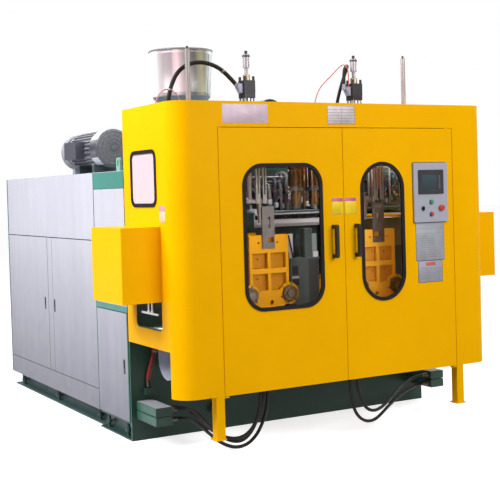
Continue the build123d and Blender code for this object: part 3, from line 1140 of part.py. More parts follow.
def main():
    """Make and write every piece."""
    os.makedirs("parts", exist_ok=True)
    gap = SEAM / 2
    save("front_base", front_base())
    save("rear_skid", *rear_skid(), *levelling_bolts())
    save("cabinet_frame", *cabinet_frame(), *cabinet_pins(), *lifting_lugs(), *barrel_pedestals())
    save("cabinet_panels", *cabinet_panels())
    save("narrow_cabinet_door", *cabinet_door(BULKHEAD_REAR + gap, NARROW_CABINET_REAR - gap,
                                              SKID_HEIGHT + SEAM, NARROW_DOOR_TOP - gap, True,
                                              BULKHEAD_REAR + 76, 488))
    save("rear_cabinet_door_front", *cabinet_door(NARROW_CABINET_REAR + gap, MULLION_FRONT - gap, DOOR_SILL + gap,
                                                  REAR_DOOR_TOP - gap, False, MULLION_FRONT - 36, 789))
    save("rear_cabinet_door_back", *cabinet_door(MULLION_REAR + gap, CABINET_REAR - gap, DOOR_SILL + gap,
                                                 REAR_DOOR_TOP - gap, True, MULLION_REAR + 80, 793))
    save("front_fascia", front_fascia())
    save("side_panels", side_panel(), mirrored(side_panel()))
    save("side_boxes", side_box(), mirrored(side_box()))
    seal, pane = side_seal()
    save("side_window_seals", seal, mirrored(seal))
    save("side_window_panes", pane, mirrored(pane))
    save("cover_frame", cover_frame())
    save("left_door", front_door(LEFT_WINDOW_X, LEFT_WINDOW_WIDTH, LEFT_WINDOW_CORNER))
    right = mirrored(front_door(-RIGHT_WINDOW_X, RIGHT_WINDOW_WIDTH, RIGHT_WINDOW_CORNER))
    lip = PANEL_LIP - FIT
    right -= block(PANEL_X - PANEL_WIDTH / 2 + lip, PANEL_X + PANEL_WIDTH / 2 - lip, -1, SHEET + 1,
                   PANEL_BOTTOM + lip, PANEL_TOP - lip)
    save("right_door", right)
    save("left_window_seal", window_seal(LEFT_WINDOW_X, LEFT_WINDOW_WIDTH, LEFT_WINDOW_CORNER))
    save("right_window_seal", window_seal(RIGHT_WINDOW_X, RIGHT_WINDOW_WIDTH, RIGHT_WINDOW_CORNER))
    save("left_window_pane", window_pane(LEFT_WINDOW_X, LEFT_WINDOW_WIDTH, LEFT_WINDOW_CORNER))
    save("right_window_pane", window_pane(RIGHT_WINDOW_X, RIGHT_WINDOW_WIDTH, RIGHT_WINDOW_CORNER))
    save("left_door_handle", pull_handle(-HANDLE_X))
    save("right_door_handle", pull_handle(HANDLE_X))
    save("control_panel", *control_panel())
    save("touch_screen", *touch_screen())
    save("green_button", push_button(GREEN_BUTTON_X, GREEN_BUTTON_Z))
    save("red_button", push_button(GREEN_BUTTON_X, RED_BUTTON_Z))
    save("selector_switch", selector_switch())
    save("stop_button", stop_button())
    save("guide_bars", *guide_bars())
    for side, place in (("left", lambda s: s), ("right", mirrored)):
        save(f"{side}_carriage", place(carriage()), *[place(s) for s in guide_rods()])
        save(f"{side}_front_platen", *[place(s) for s in front_platen()])
        save(f"{side}_rear_platen", *[place(s) for s in rear_platen()])
        save(f"{side}_blow_pin", *[place(s) for s in blow_pin()])
        save(f"{side}_outer_rod", place(outer_rod()))
    save("blow_cylinders", *blow_units())
    save("outer_cylinders", outer_cylinder(), mirrored(outer_cylinder()))
    save("die_head", die_head())
    save("heater_bands", *heater_bands())
    save("extruder_barrel", extruder_barrel())
    save("barrel_cover", barrel_cover())
    save("hopper", hopper())
    save("gearbox", gearbox())
    save("drive_motor", drive_motor())
    save("belt_guard", belt_guard())
    save("discharge_chute", discharge_chute())
    save("valve_blocks", *valve_blocks())
    hoses()


main()
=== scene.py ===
"""Looks of the blow moulding machine: finishes, fine pieces, hoses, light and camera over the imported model.

Places and sizes are in the maker's millimetres: X from the centreline, Y back from the cover's front face
and Z from the floor. `at`, `metres` and `to_frame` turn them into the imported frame's metres.
"""
import bpy
import math
import numpy as np
from mathutils import Matrix, Vector


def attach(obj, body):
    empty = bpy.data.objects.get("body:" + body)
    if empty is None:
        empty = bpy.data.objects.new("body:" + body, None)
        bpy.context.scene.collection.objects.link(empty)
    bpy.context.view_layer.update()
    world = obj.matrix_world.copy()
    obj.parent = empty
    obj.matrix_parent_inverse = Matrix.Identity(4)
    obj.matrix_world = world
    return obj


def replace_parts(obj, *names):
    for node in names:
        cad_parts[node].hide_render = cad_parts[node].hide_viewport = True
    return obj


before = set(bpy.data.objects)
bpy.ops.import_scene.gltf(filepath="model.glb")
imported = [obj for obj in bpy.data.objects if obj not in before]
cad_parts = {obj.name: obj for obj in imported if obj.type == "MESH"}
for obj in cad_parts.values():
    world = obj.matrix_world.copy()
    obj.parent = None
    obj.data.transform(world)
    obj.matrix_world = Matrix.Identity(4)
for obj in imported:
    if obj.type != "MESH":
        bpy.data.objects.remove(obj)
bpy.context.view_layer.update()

# Cover and base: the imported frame's middle, the side panels' outer and inner faces, the bulkhead's face
MIDDLE_Y = 1695.5
HALF_WIDTH = 1221.5
SIDE_INNER = 1218.5
BULKHEAD = 771

# Clamps and blow units
STATION_X = 438
BLOW_Y = 470
PLATEN_FACE = 237
FLANGE_FACE = 221
EAR_X, EAR_Z = 148, 962

# Cabinets: edges along Y, door edges along Z, and each door handle's middle as (y, z)
CABINET_FRONT, CABINET_SPLIT, CABINET_REAR = 783, 1337, 3423
DOOR_SIDES = (1337, 2271, 2384, 3421)
DOOR_FOOT, DOOR_TOP, NARROW_DOOR_TOP, ROOF_LINE = 269.5, 1324, 853, 1803.5
DOOR_HANDLES = ((859, 488), (2237, 789), (2462, 793))

# Extruder and motor
HOPPER_X, HOPPER_Y, HOPPER_RADIUS, HOPPER_RIM = -8, 2346, 267, 2840
THROAT_Y = 2320
MOTOR_X, MOTOR_Z, MOTOR_FRONT = -666, 2024, 2273

# Control panel: the touch screen's face, and the push buttons' column and collars
SCREEN_FACE = -24
BUTTON_X, BUTTON_FACE = 711, -26.5

# The photograph's camera: place in metres, angles in degrees, lens in millimetres
EYE = (-3.9366, -7.382, 1.637)
YAW, PITCH, ROLL = 28.892, -1.326, -1.629
LENS, SENSOR, SHIFT_X, SHIFT_Y = 75.81, 36, 0.0255, -0.0665

# Directions, and the two sides
BACK, FORWARD, UP = (0, 1, 0), (0, -1, 0), (0, 0, 1)
SIDES = ((-1, "left"), (1, "right"))


def metres(letter, value):
    """A maker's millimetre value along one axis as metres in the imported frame."""
    return (value - MIDDLE_Y) / 1000 if letter == "y" else value / 1000


def at(x, y, z):
    """A maker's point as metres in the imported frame."""
    return (metres("x", x), metres("y", y), metres("z", z))


def to_frame(points):
    """An array of maker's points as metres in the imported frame."""
    return (np.asarray(points, float) - (0, MIDDLE_Y, 0)) / 1000


def channel(value):
    """One screen channel from 0 to 255 as linear light: the standard screen curve, straight near black."""
    share = value / 255
    return share / 12.92 if value < 11 else ((share + 0.055) / 1.055) ** 2.4


def linear(*screen):
    """A screen colour from 0 to 255 as linear light, with alpha 1."""
    return (*map(channel, screen), 1.0)


def shade(colour, factor):
    """A linear colour made lighter or darker."""
    return tuple(min(1.0, c * factor) for c in colour[:3]) + (1.0,)


# Camera

def view_matrix(across, above, back, place):
    """The 4 by 4 matrix with three axes and a place as its columns."""
    rows = [(across[i], above[i], back[i], place[i]) for i in range(3)]
    return Matrix((*rows, (0, 0, 0, 1)))


def photograph_camera():
    """The camera as the photograph's own lines give it: yaw and pitch, then a roll about its view."""
    yaw, pitch, roll = (math.radians(a) for a in (YAW, PITCH, ROLL))
    forward = Vector((math.sin(yaw) * math.cos(pitch), math.cos(yaw) * math.cos(pitch), math.sin(pitch)))
    right = Vector((math.cos(yaw), -math.sin(yaw), 0))
    up = right.cross(forward)
    across = right * math.cos(roll) + up * math.sin(roll)
    above = up * math.cos(roll) - right * math.sin(roll)
    data = bpy.data.cameras.new("camera")
    data.sensor_width, data.lens = SENSOR, LENS
    data.shift_x, data.shift_y = SHIFT_X, SHIFT_Y
    data.clip_end = 200
    obj = bpy.data.objects.new("camera", data)
    obj.matrix_world = view_matrix(across, above, -forward, EYE)
    bpy.context.scene.collection.objects.link(obj)
    bpy.context.scene.camera = obj


photograph_camera()
bpy.context.scene.view_settings.view_transform = "Standard"


# Node helpers

# A Mix node's colour sockets by their index: factor, first, second and result
MIX_FACTOR, MIX_FIRST, MIX_SECOND, MIX_RESULT = 0, 6, 7, 2


class Graph:
    """A node tree and the few node moves that the finishes and the world share."""

    def __init__(self, owner):
        owner.use_nodes = True
        self.nodes = owner.node_tree.nodes
        self.links = owner.node_tree.links

    def feed(self, target, value):
        """Set an input to a number or colour, or link it to another node's output."""
        if hasattr(value, "is_output"):
            self.links.new(value, target)
        else:
            target.default_value = value

    def new(self, kind, **inputs):
        """A new node with its inputs fed by name, where _ stands for a space."""
        node = self.nodes.new(f"ShaderNode{kind}")
        for name, value in inputs.items():
            self.feed(node.inputs[name.replace("_", " ")], value)
        return node

    def maths(self, operation, a, b=0.0, c=0.0):
        """One Math node over sockets or numbers."""
        node = self.new("Math")
        node.operation = operation
        for target, value in zip(node.inputs, (a, b, c)):
            self.feed(target, value)
        return node.outputs[0]

    def either(self, *tests):
        """1 where any of the tests is 1."""
        result = tests[0]
        for test in tests[1:]:
            result = self.maths("MAXIMUM", result, test)
        return result

    def both(self, a, b):
        """1 where both tests are 1."""
        return self.maths("MULTIPLY", a, b)

    def ramp(self, source, low, high, first=0.0, last=1.0):
        """Source mapped from low..high to first..last and held there."""
        node = self.new("MapRange", Value=source, From_Min=low, From_Max=high, To_Min=first, To_Max=last)
        return node.outputs["Result"]

    def blend(self, amount, first, second):
        """The first shader where amount is 0 and the second where it is 1."""
        node = self.new("MixShader", Fac=amount)
        self.links.new(first, node.inputs[1])
        self.links.new(second, node.inputs[2])
        return node.outputs[0]


class Finish(Graph):
    """One material on its object's own coordinates."""

    def __init__(self, name):
        self.material = bpy.data.materials.new(name)
        super().__init__(self.material)
        self.shader = self.nodes["Principled BSDF"]
        self.place = self.new("TexCoord").outputs["Object"]
        self.axes = None

    def put(self, socket, value):
        """Feed one of the shader's sockets."""
        self.feed(self.shader.inputs[socket], value)

    def now(self, socket):
        """What a socket of the shader has so far: the output linked to it, or else its value."""
        target = self.shader.inputs[socket]
        if target.links:
            return target.links[0].from_socket
        return tuple(target.default_value) if socket == "Base Color" else target.default_value

    def noise(self, scale, detail=3.0, rough=0.5, stretch=None):
        """Noise from 0 to 1 over the object, stretched along an axis where a factor is under 1."""
        source = self.place
        if stretch:
            source = self.new("Mapping", Vector=source, Scale=stretch).outputs["Vector"]
        node = self.new("TexNoise", Vector=source, Scale=scale, Detail=detail, Roughness=rough)
        return node.outputs["Fac"]

    def clouds(self, scale, detail, first=0.0, last=1.0, rough=0.5, stretch=None):
        """Noise whose middle part is spread over first..last."""
        return self.ramp(self.noise(scale, detail, rough, stretch), 0.3, 0.7, first, last)

    def mix(self, amount, a, b):
        """Colour a where amount is 0 and b where it is 1."""
        node = self.new("Mix")
        node.data_type = "RGBA"
        for slot, value in ((MIX_FACTOR, amount), (MIX_FIRST, a), (MIX_SECOND, b)):
            self.feed(node.inputs[slot], value)
        return node.outputs[MIX_RESULT]

    def stops(self, source, stops):
        """A colour ramp over 0..1, given as pairs of place and colour."""
        node = self.new("ValToRGB", Fac=source)
        elements = node.color_ramp.elements
        for element, (place, colour) in zip(elements, (stops[0], stops[-1])):
            element.position, element.color = place, colour
        for place, colour in stops[1:-1]:
            elements.new(place).color = colour
        return node.outputs["Color"]

    def axis(self, letter):
        """One coordinate of the object's own place."""
        if self.axes is None:
            self.axes = self.new("SeparateXYZ", Vector=self.place).outputs
        return self.axes[letter.upper()]

    def along(self, letter, low, high):
        """0 to 1 along an axis, from one of the maker's values to another."""
        return self.ramp(self.axis(letter), metres(letter, low), metres(letter, high))

    def near(self, letter, value, reach):
        """1 within reach of one of the maker's values."""
        return self.maths("COMPARE", self.axis(letter), metres(letter, value), reach / 1000)

    def inside(self, **limits):
        """1 where every named limit holds, as x0=, x1=, y0=, y1=, z0=, z1= in the maker's millimetres."""
        result = None
        for (letter, end), value in limits.items():
            test = "GREATER_THAN" if end == "0" else "LESS_THAN"
            mask = self.maths(test, self.axis(letter), metres(letter, value))
            result = mask if result is None else self.both(result, mask)
        return result

    def bump(self, height, distance, strength=1.0):
        """Surface relief from a height socket, distance in metres."""
        self.put("Normal", self.new("Bump", Height=height, Distance=distance, Strength=strength).outputs[0])

    def zone(self, mask, colour=None, metallic=None, rough=None):
        """Repaint part of the finish where mask is 1."""
        if colour is not None:
            self.put("Base Color", self.mix(mask, self.now("Base Color"), colour))
        for socket, value in (("Metallic", metallic), ("Roughness", rough)):
            if value is not None:
                kept = self.maths("MULTIPLY", self.maths("SUBTRACT", 1.0, mask), self.now(socket))
                self.put(socket, self.maths("ADD", self.maths("MULTIPLY", mask, value), kept))


def paint(name, colour, rough=0.34, coat=0.08, peel=0.00025, soil=0.06, specular=0.3):
    """Sprayed enamel: faint orange peel, slow colour drift and a little dust that dulls it in patches."""
    f = Finish(name)
    drift = f.clouds(1.7, 4)
    dust = f.ramp(f.noise(9.0, 6, 0.65), 0.45, 0.8)
    base = f.mix(drift, shade(colour, 1 - soil / 2), shade(colour, 1 + soil / 2))
    f.put("Base Color", f.mix(f.maths("MULTIPLY", dust, soil * 2), base, shade(colour, 0.72)))
    f.put("Roughness", f.ramp(dust, 0, 1, rough, rough + 0.14))
    f.put("Specular IOR Level", specular)
    f.put("Coat Weight", coat)
    f.put("Coat Roughness", 0.12)
    f.bump(f.noise(420, 2), peel, 0.2)
    return f


def brushed(name, colour, rough=0.3, stretch=(1, 1, 0.02), scale=260, metallic=1.0):
    """Ground or brushed metal: fine scratches along one direction over a clouded sheen."""
    f = Finish(name)
    lines = f.noise(scale, 3, 0.6, stretch)
    f.put("Base Color", f.mix(f.clouds(5.0, 4), shade(colour, 0.88), colour))
    f.put("Metallic", metallic)
    f.put("Roughness", f.ramp(lines, 0.3, 0.7, rough * 0.75, rough * 1.3))
    f.bump(lines, 0.0002, 0.25)
    return f


def plastic(name, colour, rough=0.4, scale=700, specular=0.35):
    """Moulded plastic or rubber with a fine even grain."""
    f = Finish(name)
    cloud = f.clouds(14, 3)
    f.put("Base Color", f.mix(cloud, shade(colour, 0.85), shade(colour, 1.1)))
    f.put("Roughness", f.ramp(cloud, 0, 1, rough - 0.05, rough + 0.08))
    f.put("Specular IOR Level", specular)
    f.bump(f.noise(scale, 2), 0.0003, 0.4)
    return f


def dress(nodes, finish):
    """Give CAD nodes a finish."""
    for name in nodes.split():
        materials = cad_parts[name].data.materials
        if not materials:
            materials.append(finish.material)
        for i in range(len(materials)):
            materials[i] = finish.material


# Mesh helpers

def add_mesh(name, shape, finish, body="machine", smooth=True):
    """A new piece from a shape, which is points in metres with faces, riding on a body."""
    points, faces = shape
    mesh = bpy.data.meshes.new(name)
    mesh.from_pydata(points.tolist(), [], faces)
    mesh.materials.append(finish.material)
    mesh.polygons.foreach_set("use_smooth", np.full(len(mesh.polygons), smooth))
    mesh.update()
    obj = bpy.data.objects.new(name, mesh)
    bpy.context.scene.collection.objects.link(obj)
    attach(obj, body)
    return obj


def ring_faces(rings, count, wrapped=False):
    """Quads between successive closed rings of `count` points.

    A face closes the first and the last ring, or the last ring runs on into the first where it is wrapped.
    """
    r, c = np.meshgrid(np.arange(rings if wrapped else rings - 1), np.arange(count), indexing="ij")
    beside, above = (c + 1) % count, (r + 1) % rings
    quads = np.stack([r * count + c, r * count + beside, above * count + beside, above * count + c], -1)
    ends = [] if wrapped else [[*range(count)][::-1], [*range((rings - 1) * count, rings * count)]]
    return quads.reshape(-1, 4).tolist() + ends


def unit(vectors):
    """Vectors along the last axis at length 1."""
    return vectors / np.linalg.norm(vectors, axis=-1, keepdims=True)


def basis(direction):
    """Two unit vectors at right angles to a direction and to each other, and the direction itself."""
    w = unit(np.asarray(direction, float))
    helper = np.array([0.0, 0.0, 1.0]) if abs(w[2]) < 0.9 else np.array([1.0, 0.0, 0.0])
    u = unit(np.cross(helper, w))
    return u, np.cross(w, u), w


def circle(u, v, count):
    """Points u*cos t + v*sin t for t at even steps of a full turn."""
    t = (np.arange(count) * 2 * np.pi / count)[:, None]
    return np.cos(t) * u + np.sin(t) * v


def turned(profile, centre, direction, count=32, wrapped=False):
    """A turned form: each (radius, length) of the profile becomes a circle about the direction.

    A circle's point is centre + w*length + radius*(u*cos t + v*sin t). A count of 6 gives a hexagon, and a
    wrapped profile a ring.
    """
    u, v, w = basis(direction)
    radius, length = (np.array(profile, float) / 1000).T[:, :, None, None]
    points = np.array(at(*centre)) + length * w + radius * circle(u, v, count)
    return points.reshape(-1, 3), ring_faces(len(profile), count, wrapped)


def rod(radius, length, foot, direction=UP, count=12):
    """A plain round bar from its foot's centre."""
    return turned([(radius, 0), (radius, length)], foot, direction, count)


def joined(shapes):
    """Several shapes as one."""
    points, faces, start = [], [], 0
    for p, f in shapes:
        points.append(p)
        faces += [[i + start for i in face] for face in f]
        start += len(p)
    return np.concatenate(points), faces


def rounded_outline(width, height, corner, steps=5):
    """Points round a rounded rectangle: four quarter circles of the corner radius and straight sides."""
    t = np.linspace(0, np.pi / 2, steps)
    quarters = []
    for i, (sx, sz) in enumerate(((1, 1), (-1, 1), (-1, -1), (1, -1))):
        a = t + i * np.pi / 2
        quarters.append(np.stack([sx * (width / 2 - corner) + corner * np.cos(a),
                                  sz * (height / 2 - corner) + corner * np.sin(a)], -1))
    return np.concatenate(quarters)


def plate(cx, cz, width, height, thick, corner=3.0, edge=0.8, y=0):
    """A thin plate that faces the front: a rounded outline lofted from its back to a smaller face."""
    big = rounded_outline(width, height, corner)
    small = rounded_outline(width - 2 * edge, height - 2 * edge, max(0.2, corner - edge))
    rings = []
    for outline, forward in ((big, 0.0), (big, thick - edge), (small, thick)):
        rings.append(np.insert(outline + (cx, cz), 1, y - forward, axis=1))
    return to_frame(np.concatenate(rings)), ring_faces(3, len(big))


def brick(x0, x1, y0, y1, z0, z1, edge=1.0):
    """A block with bevelled edges: four nested rounded outlines stacked along Z."""
    outline = rounded_outline(x1 - x0, y1 - y0, edge, 2)
    inner = rounded_outline(x1 - x0 - 2 * edge, y1 - y0 - 2 * edge, 0.01, 2)
    middle = ((x0 + x1) / 2, (y0 + y1) / 2)
    rings = []
    for ring, z in ((inner, z0), (outline, z0 + edge), (outline, z1 - edge), (inner, z1)):
        rings.append(np.insert(ring + middle, 2, z, axis=1))
    return to_frame(np.concatenate(rings)), ring_faces(4, len(outline))


def extruded(outline, x0, x1):
    """A profile of (y, z) points, anticlockwise seen from +X, carried along X."""
    ends = [np.insert(np.array(outline, float), 0, x, axis=1) for x in (x0, x1)]
    return to_frame(np.concatenate(ends)), ring_faces(2, len(outline))


def bolt(place, across, high):
    """A hexagon head that faces the front, with a chamfered top, on a washer."""
    r, washer, shoulder, chamfer = across / 2 / math.cos(math.pi / 6), 1.6, 0.85, 0.86
    rim = r * 1.25
    disc = turned([(0.1, 0), (rim, 0), (rim, washer), (0.1, washer)], place, FORWARD, 20)
    head = [(r, washer), (r, washer + high * shoulder), (r * chamfer, washer + high)]
    return joined([disc, turned(head, place, FORWARD, 6)])


def tube(points, radius, count=10):
    """A tube along points in metres: circles carried along the runs, each in its corner's halving plane."""
    runs = unit(np.diff(points, axis=0))
    tangents = unit(np.concatenate([runs[:1], runs[:-1] + runs[1:], runs[-1:]]))
    u = basis(tangents[0])[0]
    rings = []
    for centre, w in zip(points, tangents):
        u = unit(u - w * np.dot(u, w))
        rings.append(centre + radius / 1000 * circle(u, np.cross(w, u), count))
    return np.concatenate(rings), ring_faces(len(points), count)


def pipe(points, radius, count=10):
    """A rigid pipe along the maker's points."""
    return tube(to_frame(points), radius, count)


# Finishes that several pieces share

yellow = paint("yellow_enamel", (0.95, 0.465, 0.0, 1), rough=0.36, coat=0.0, specular=0.03)
rubber = plastic("seal_rubber", linear(24, 19, 22), rough=0.55, specular=0.15)
hose_rubber = plastic("hose_rubber", linear(27, 22, 21), rough=0.5, scale=420, specular=0.2)
black_plastic = plastic("black_plastic", linear(32, 30, 33), rough=0.38)
handle_black = plastic("handle_black", linear(30, 26, 27), rough=0.3)
bright_steel = brushed("bright_steel", linear(200, 197, 198), rough=0.24)
plain_steel = brushed("machined_steel", linear(128, 124, 122), rough=0.42, stretch=(1, 1, 1), scale=120)
chrome = brushed("hard_chrome", linear(205, 207, 212), rough=0.14, stretch=(0.03, 1, 1), scale=300)
brass = brushed("fitting_brass", linear(150, 124, 92), rough=0.38, stretch=(1, 1, 0.1), scale=160)
red_plastic = plastic("red_plastic", linear(205, 60, 40), rough=0.25)
dark_red_plastic = plastic("dark_red_plastic", linear(176, 44, 50), rough=0.28)
green_plastic = plastic("green_plastic", linear(30, 140, 96), rough=0.25)
red_hose = plastic("red_hose", linear(128, 34, 28))
red_sleeve = plastic("red_sleeve", linear(196, 52, 40), rough=0.35)
orange_tube = plastic("orange_tube", linear(188, 92, 62), rough=0.3)
pink_tube = plastic("pink_tube", linear(190, 120, 110), rough=0.3)
white_enamel = paint("white_enamel", linear(226, 232, 250), rough=0.3)

# Hoses: diameter, stiffness and the route's points

HOSES = {
    "left_hose_upper": (22, "medium", [
        (-1036, 505, 237), (-984, 505, 237), (-938, 472, 231), (-918, 408, 217), (-914, 320, 185),
        (-908, 226, 150), (-886, 140, 115), (-832, 96, 96), (-765, 87, 95), (-705, 85, 124),
        (-660, 85, 178), (-632, 83, 262), (-621, 81, 355), (-620, 81, 445), (-620, 81, 535)]),
    "left_hose_middle": (22, "medium", [
        (-1036, 570, 237), (-984, 570, 237), (-938, 537, 230), (-918, 474, 213), (-914, 384, 180),
        (-904, 290, 148), (-886, 196, 118), (-850, 132, 88), (-796, 114, 68), (-738, 112, 70),
        (-684, 114, 106), (-644, 112, 168), (-612, 100, 255), (-597, 86, 345), (-593, 81, 440),
        (-593, 81, 535)]),
    "left_hose_lower": (22, "medium", [
        (-1036, 505, 174), (-984, 505, 174), (-938, 472, 167), (-919, 408, 153), (-915, 318, 132),
        (-910, 226, 106), (-888, 144, 72), (-832, 102, 42), (-764, 94, 35), (-700, 88, 58),
        (-644, 84, 112), (-602, 82, 190), (-574, 81, 280), (-566, 81, 370), (-565, 81, 453),
        (-565, 81, 535)]),
    "right_hose_outer": (22, "medium", [
        (1036, 505, 174), (970, 505, 174), (888, 480, 165), (770, 422, 148), (646, 352, 128),
        (525, 276, 106), (414, 204, 80), (318, 146, 62), (235, 112, 62), (165, 96, 88),
        (112, 86, 140), (82, 83, 216), (70, 81, 305), (68.5, 81, 395), (68, 81, 466), (68, 81, 535)]),
    "right_hose_inner": (22, "medium", [
        (1036, 505, 237), (970, 505, 237), (888, 484, 225), (775, 430, 203), (655, 356, 179),
        (545, 276, 157), (445, 204, 142), (355, 144, 132), (276, 107, 130), (212, 92, 153),
        (166, 85, 204), (138, 82, 276), (127, 81, 358), (125, 81, 447), (125, 81, 535)]),
    "red_air_hose": (20, "medium", [
        (-1040, 751, 700), (-1040, 751, 640), (-1058, 744, 560), (-1084, 744, 480), (-1100, 751, 420),
        (-1100, 751, 372)]),
    "left_top_hose": (28, "medium", [
        (-527.68, 470, 2362.68), (-586, 470, 2421), (-655, 478, 2472), (-735, 495, 2499), (-820, 520, 2498),
        (-900, 540, 2455), (-950, 552, 2375), (-976, 560, 2275), (-985, 580, 2160), (-986, 620, 2050),
        (-983, 668, 1955), (-981, 724, 1868), (-980, 751, 1800), (-980, 751, 1745)]),
    "right_top_hose": (24, "medium", [
        (352, 470, 2380), (352, 470, 2430), (363, 476, 2484), (392, 494, 2514), (425, 524, 2516),
        (435, 560, 2484), (425, 586, 2425), (405, 598, 2352), (385, 605, 2270), (370, 618, 2170),
        (362, 652, 2058), (360, 706, 1945), (360, 742, 1850), (360, 751, 1790), (360, 751, 1745)]),
    "orange_air_tube": (7, "limp", [
        (385, 458, 2361), (385, 458, 2412), (384, 459, 2462), (380, 461, 2498), (354, 472, 2522),
        (324, 490, 2498), (284, 520, 2446), (248, 548, 2404), (216, 570, 2362), (194, 586, 2308),
        (184, 598, 2240), (181, 616, 2165), (180, 642, 2085), (180, 674, 2000), (180, 712, 1912),
        (180, 742, 1835), (180, 751, 1790), (180, 751, 1745)]),
    "pink_air_tube": (7, "limp", [
        (-1045, 751, 1745), (-1045, 751, 1795), (-1046, 741, 1850), (-1050, 718, 1932), (-1054, 688, 2020),
        (-1057, 656, 2108), (-1056, 624, 2188), (-1046, 604, 2254), (-1020, 598, 2304), (-978, 596, 2330),
        (-934, 592, 2322), (-902, 588, 2294), (-884, 586, 2250), (-878, 584, 2203), (-877, 568, 2170),
        (-877, 540, 2150), (-877, 514, 2150)]),
}
FLOOR_HOSES = [name for name in HOSES if "_hose_" in name]
HOSE_LOOKS = {"red_air_hose": (red_hose, "red_rubber"), "orange_air_tube": (orange_tube, "orange_tube"),
              "pink_air_tube": (pink_tube, "pink_tube")}
# Share of each hose's length at which a clamp ring sits on it, and the diameter that it grips
CLAMPS = {"red_air_hose": [(0.34, 35)], "left_top_hose": [(0.10, 28), (0.49, 28)]}
# Protective sleeves over a hose: first and last share of its length, radius and finish
SLEEVES = {"red_air_hose": [(0.03, 0.34, 17, red_sleeve), (0.34, 0.93, 15.5, red_hose)]}


def clamp_ring(name, centre, direction, diameter):
    """A narrow band clamp round a hose, turned about the hose's own direction there."""
    r = diameter / 2
    profile = [(r - 1, -6), (r + 1.6, -6), (r + 2.2, -5), (r + 2.2, 5), (r + 1.6, 6), (r - 1, 6)]
    points, faces = turned(profile, (0, MIDDLE_Y, 0), direction, 24)
    return add_mesh(name, (points + centre, faces), plain_steel)


def hose_line(name, points):
    """A smooth spline whose hull is the route's points, with round ends for the thickness it gets later."""
    curve = bpy.data.curves.new(f"{name}_line", "CURVE")
    curve.dimensions = "3D"
    spline = curve.splines.new("NURBS")
    spline.points.add(len(points) - 1)
    for point, place in zip(spline.points, points):
        point.co = (*at(*place), 1.0)
    spline.order_u = 3
    spline.use_endpoint_u = True
    spline.resolution_u = 8
    curve.bevel_resolution = 4
    curve.use_fill_caps = True
    line = bpy.data.objects.new(f"{name}_skin", curve)
    bpy.context.scene.collection.objects.link(line)
    return line


def index_at(steps, share):
    """Which point of a line lies at a share of its length, from the lengths of its steps."""
    return int(np.searchsorted(np.cumsum(steps), share * steps.sum()))


def lay_hose(node, diameter, points):
    """A hose on its line, round in section, with its clamp rings and sleeves."""
    line = hose_line(node, points)
    way = np.array([v.co[:] for v in bpy.data.meshes.new_from_object(line).vertices])
    steps = np.linalg.norm(np.diff(way, axis=0), axis=1)
    line.data.bevel_depth = diameter / 2000
    look, slot = HOSE_LOOKS.get(node, (hose_rubber, "black_rubber"))
    line.data.materials.append(look.material)
    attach(line, "machine")
    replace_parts(line, node)
    rings = []
    for share, grip in CLAMPS.get(node, []):
        i = index_at(steps, share)
        rings.append(clamp_ring(f"{node}_clamp_{len(rings) + 1}", way[i], way[i + 1] - way[i - 1], grip))
    for first, last, radius, finish in SLEEVES.get(node, []):
        sleeve = tube(way[index_at(steps, first):index_at(steps, last) + 1], radius, 20)
        rings.append(add_mesh(f"{node}_sleeve_{len(rings)}", sleeve, finish))


for node, (diameter, stiffness, points) in HOSES.items():
    lay_hose(node, diameter, points)


# CAD pieces in their finishes

def cabinet_seams(f, flank):
    """Dark seams round the cabinet doors on the two flanks."""
    dark, half = linear(92, 96, 102), 3.5
    seams = [f.both(f.near("y", y, half), f.inside(z0=DOOR_FOOT, z1=DOOR_TOP)) for y in DOOR_SIDES]
    for z, y0, y1 in ((DOOR_TOP, CABINET_SPLIT, CABINET_REAR), (DOOR_FOOT, CABINET_SPLIT, CABINET_REAR),
                      (NARROW_DOOR_TOP, CABINET_FRONT, CABINET_SPLIT)):
        seams.append(f.both(f.near("z", z, half), f.inside(y0=y0, y1=y1)))
    for seam in seams:
        f.zone(f.both(flank, seam), dark)


def cabinet_strips(f, flank):
    """Green strips of the frame that show beside the sheets on the two flanks."""
    strip = linear(50, 92, 80)
    f.zone(f.both(flank, f.near("y", CABINET_SPLIT - 2, 6)), strip)
    f.zone(f.both(flank, f.inside(y0=CABINET_REAR - 27, y1=CABINET_REAR - 0.5, z1=ROOF_LINE)), strip)
    f.zone(f.both(flank, f.inside(y1=CABINET_FRONT + 19, z1=892)), linear(44, 84, 72))


def cabinet_sheet():
    """Grey satin sheet with painted shade that darkens it towards the floor over faint upright streaks, with
    dark seams and black door handles.
    """
    f = paint("cabinet_grey_enamel", linear(190, 190, 202), rough=0.46, coat=0.0, soil=0.05, specular=0.25)
    streaks = f.clouds(9, 3, 0.0, 0.12, stretch=(1, 1, 0.06))
    # Painted shade: the grey darkens from 1400 mm down to 100 mm, with faint upright streaks mixed in.
    painted_floor_shade = f.maths("ADD", f.along("z", 1400, 100), streaks)
    f.zone(painted_floor_shade, linear(124, 125, 136))
    f.zone(f.inside(z0=ROOF_LINE), linear(158, 159, 168))
    flank = f.maths("GREATER_THAN", f.maths("ABSOLUTE", f.axis("x")), 1.2)
    cabinet_seams(f, flank)
    cabinet_strips(f, flank)
    half_wide, half_high, skin = 13.2, 49.2, -1190
    for y, z in DOOR_HANDLES:
        handle = f.inside(x1=skin, y0=y - half_wide, y1=y + half_wide, z0=z - half_high, z1=z + half_high)
        f.zone(handle, linear(30, 28, 34), rough=0.35)
    return f


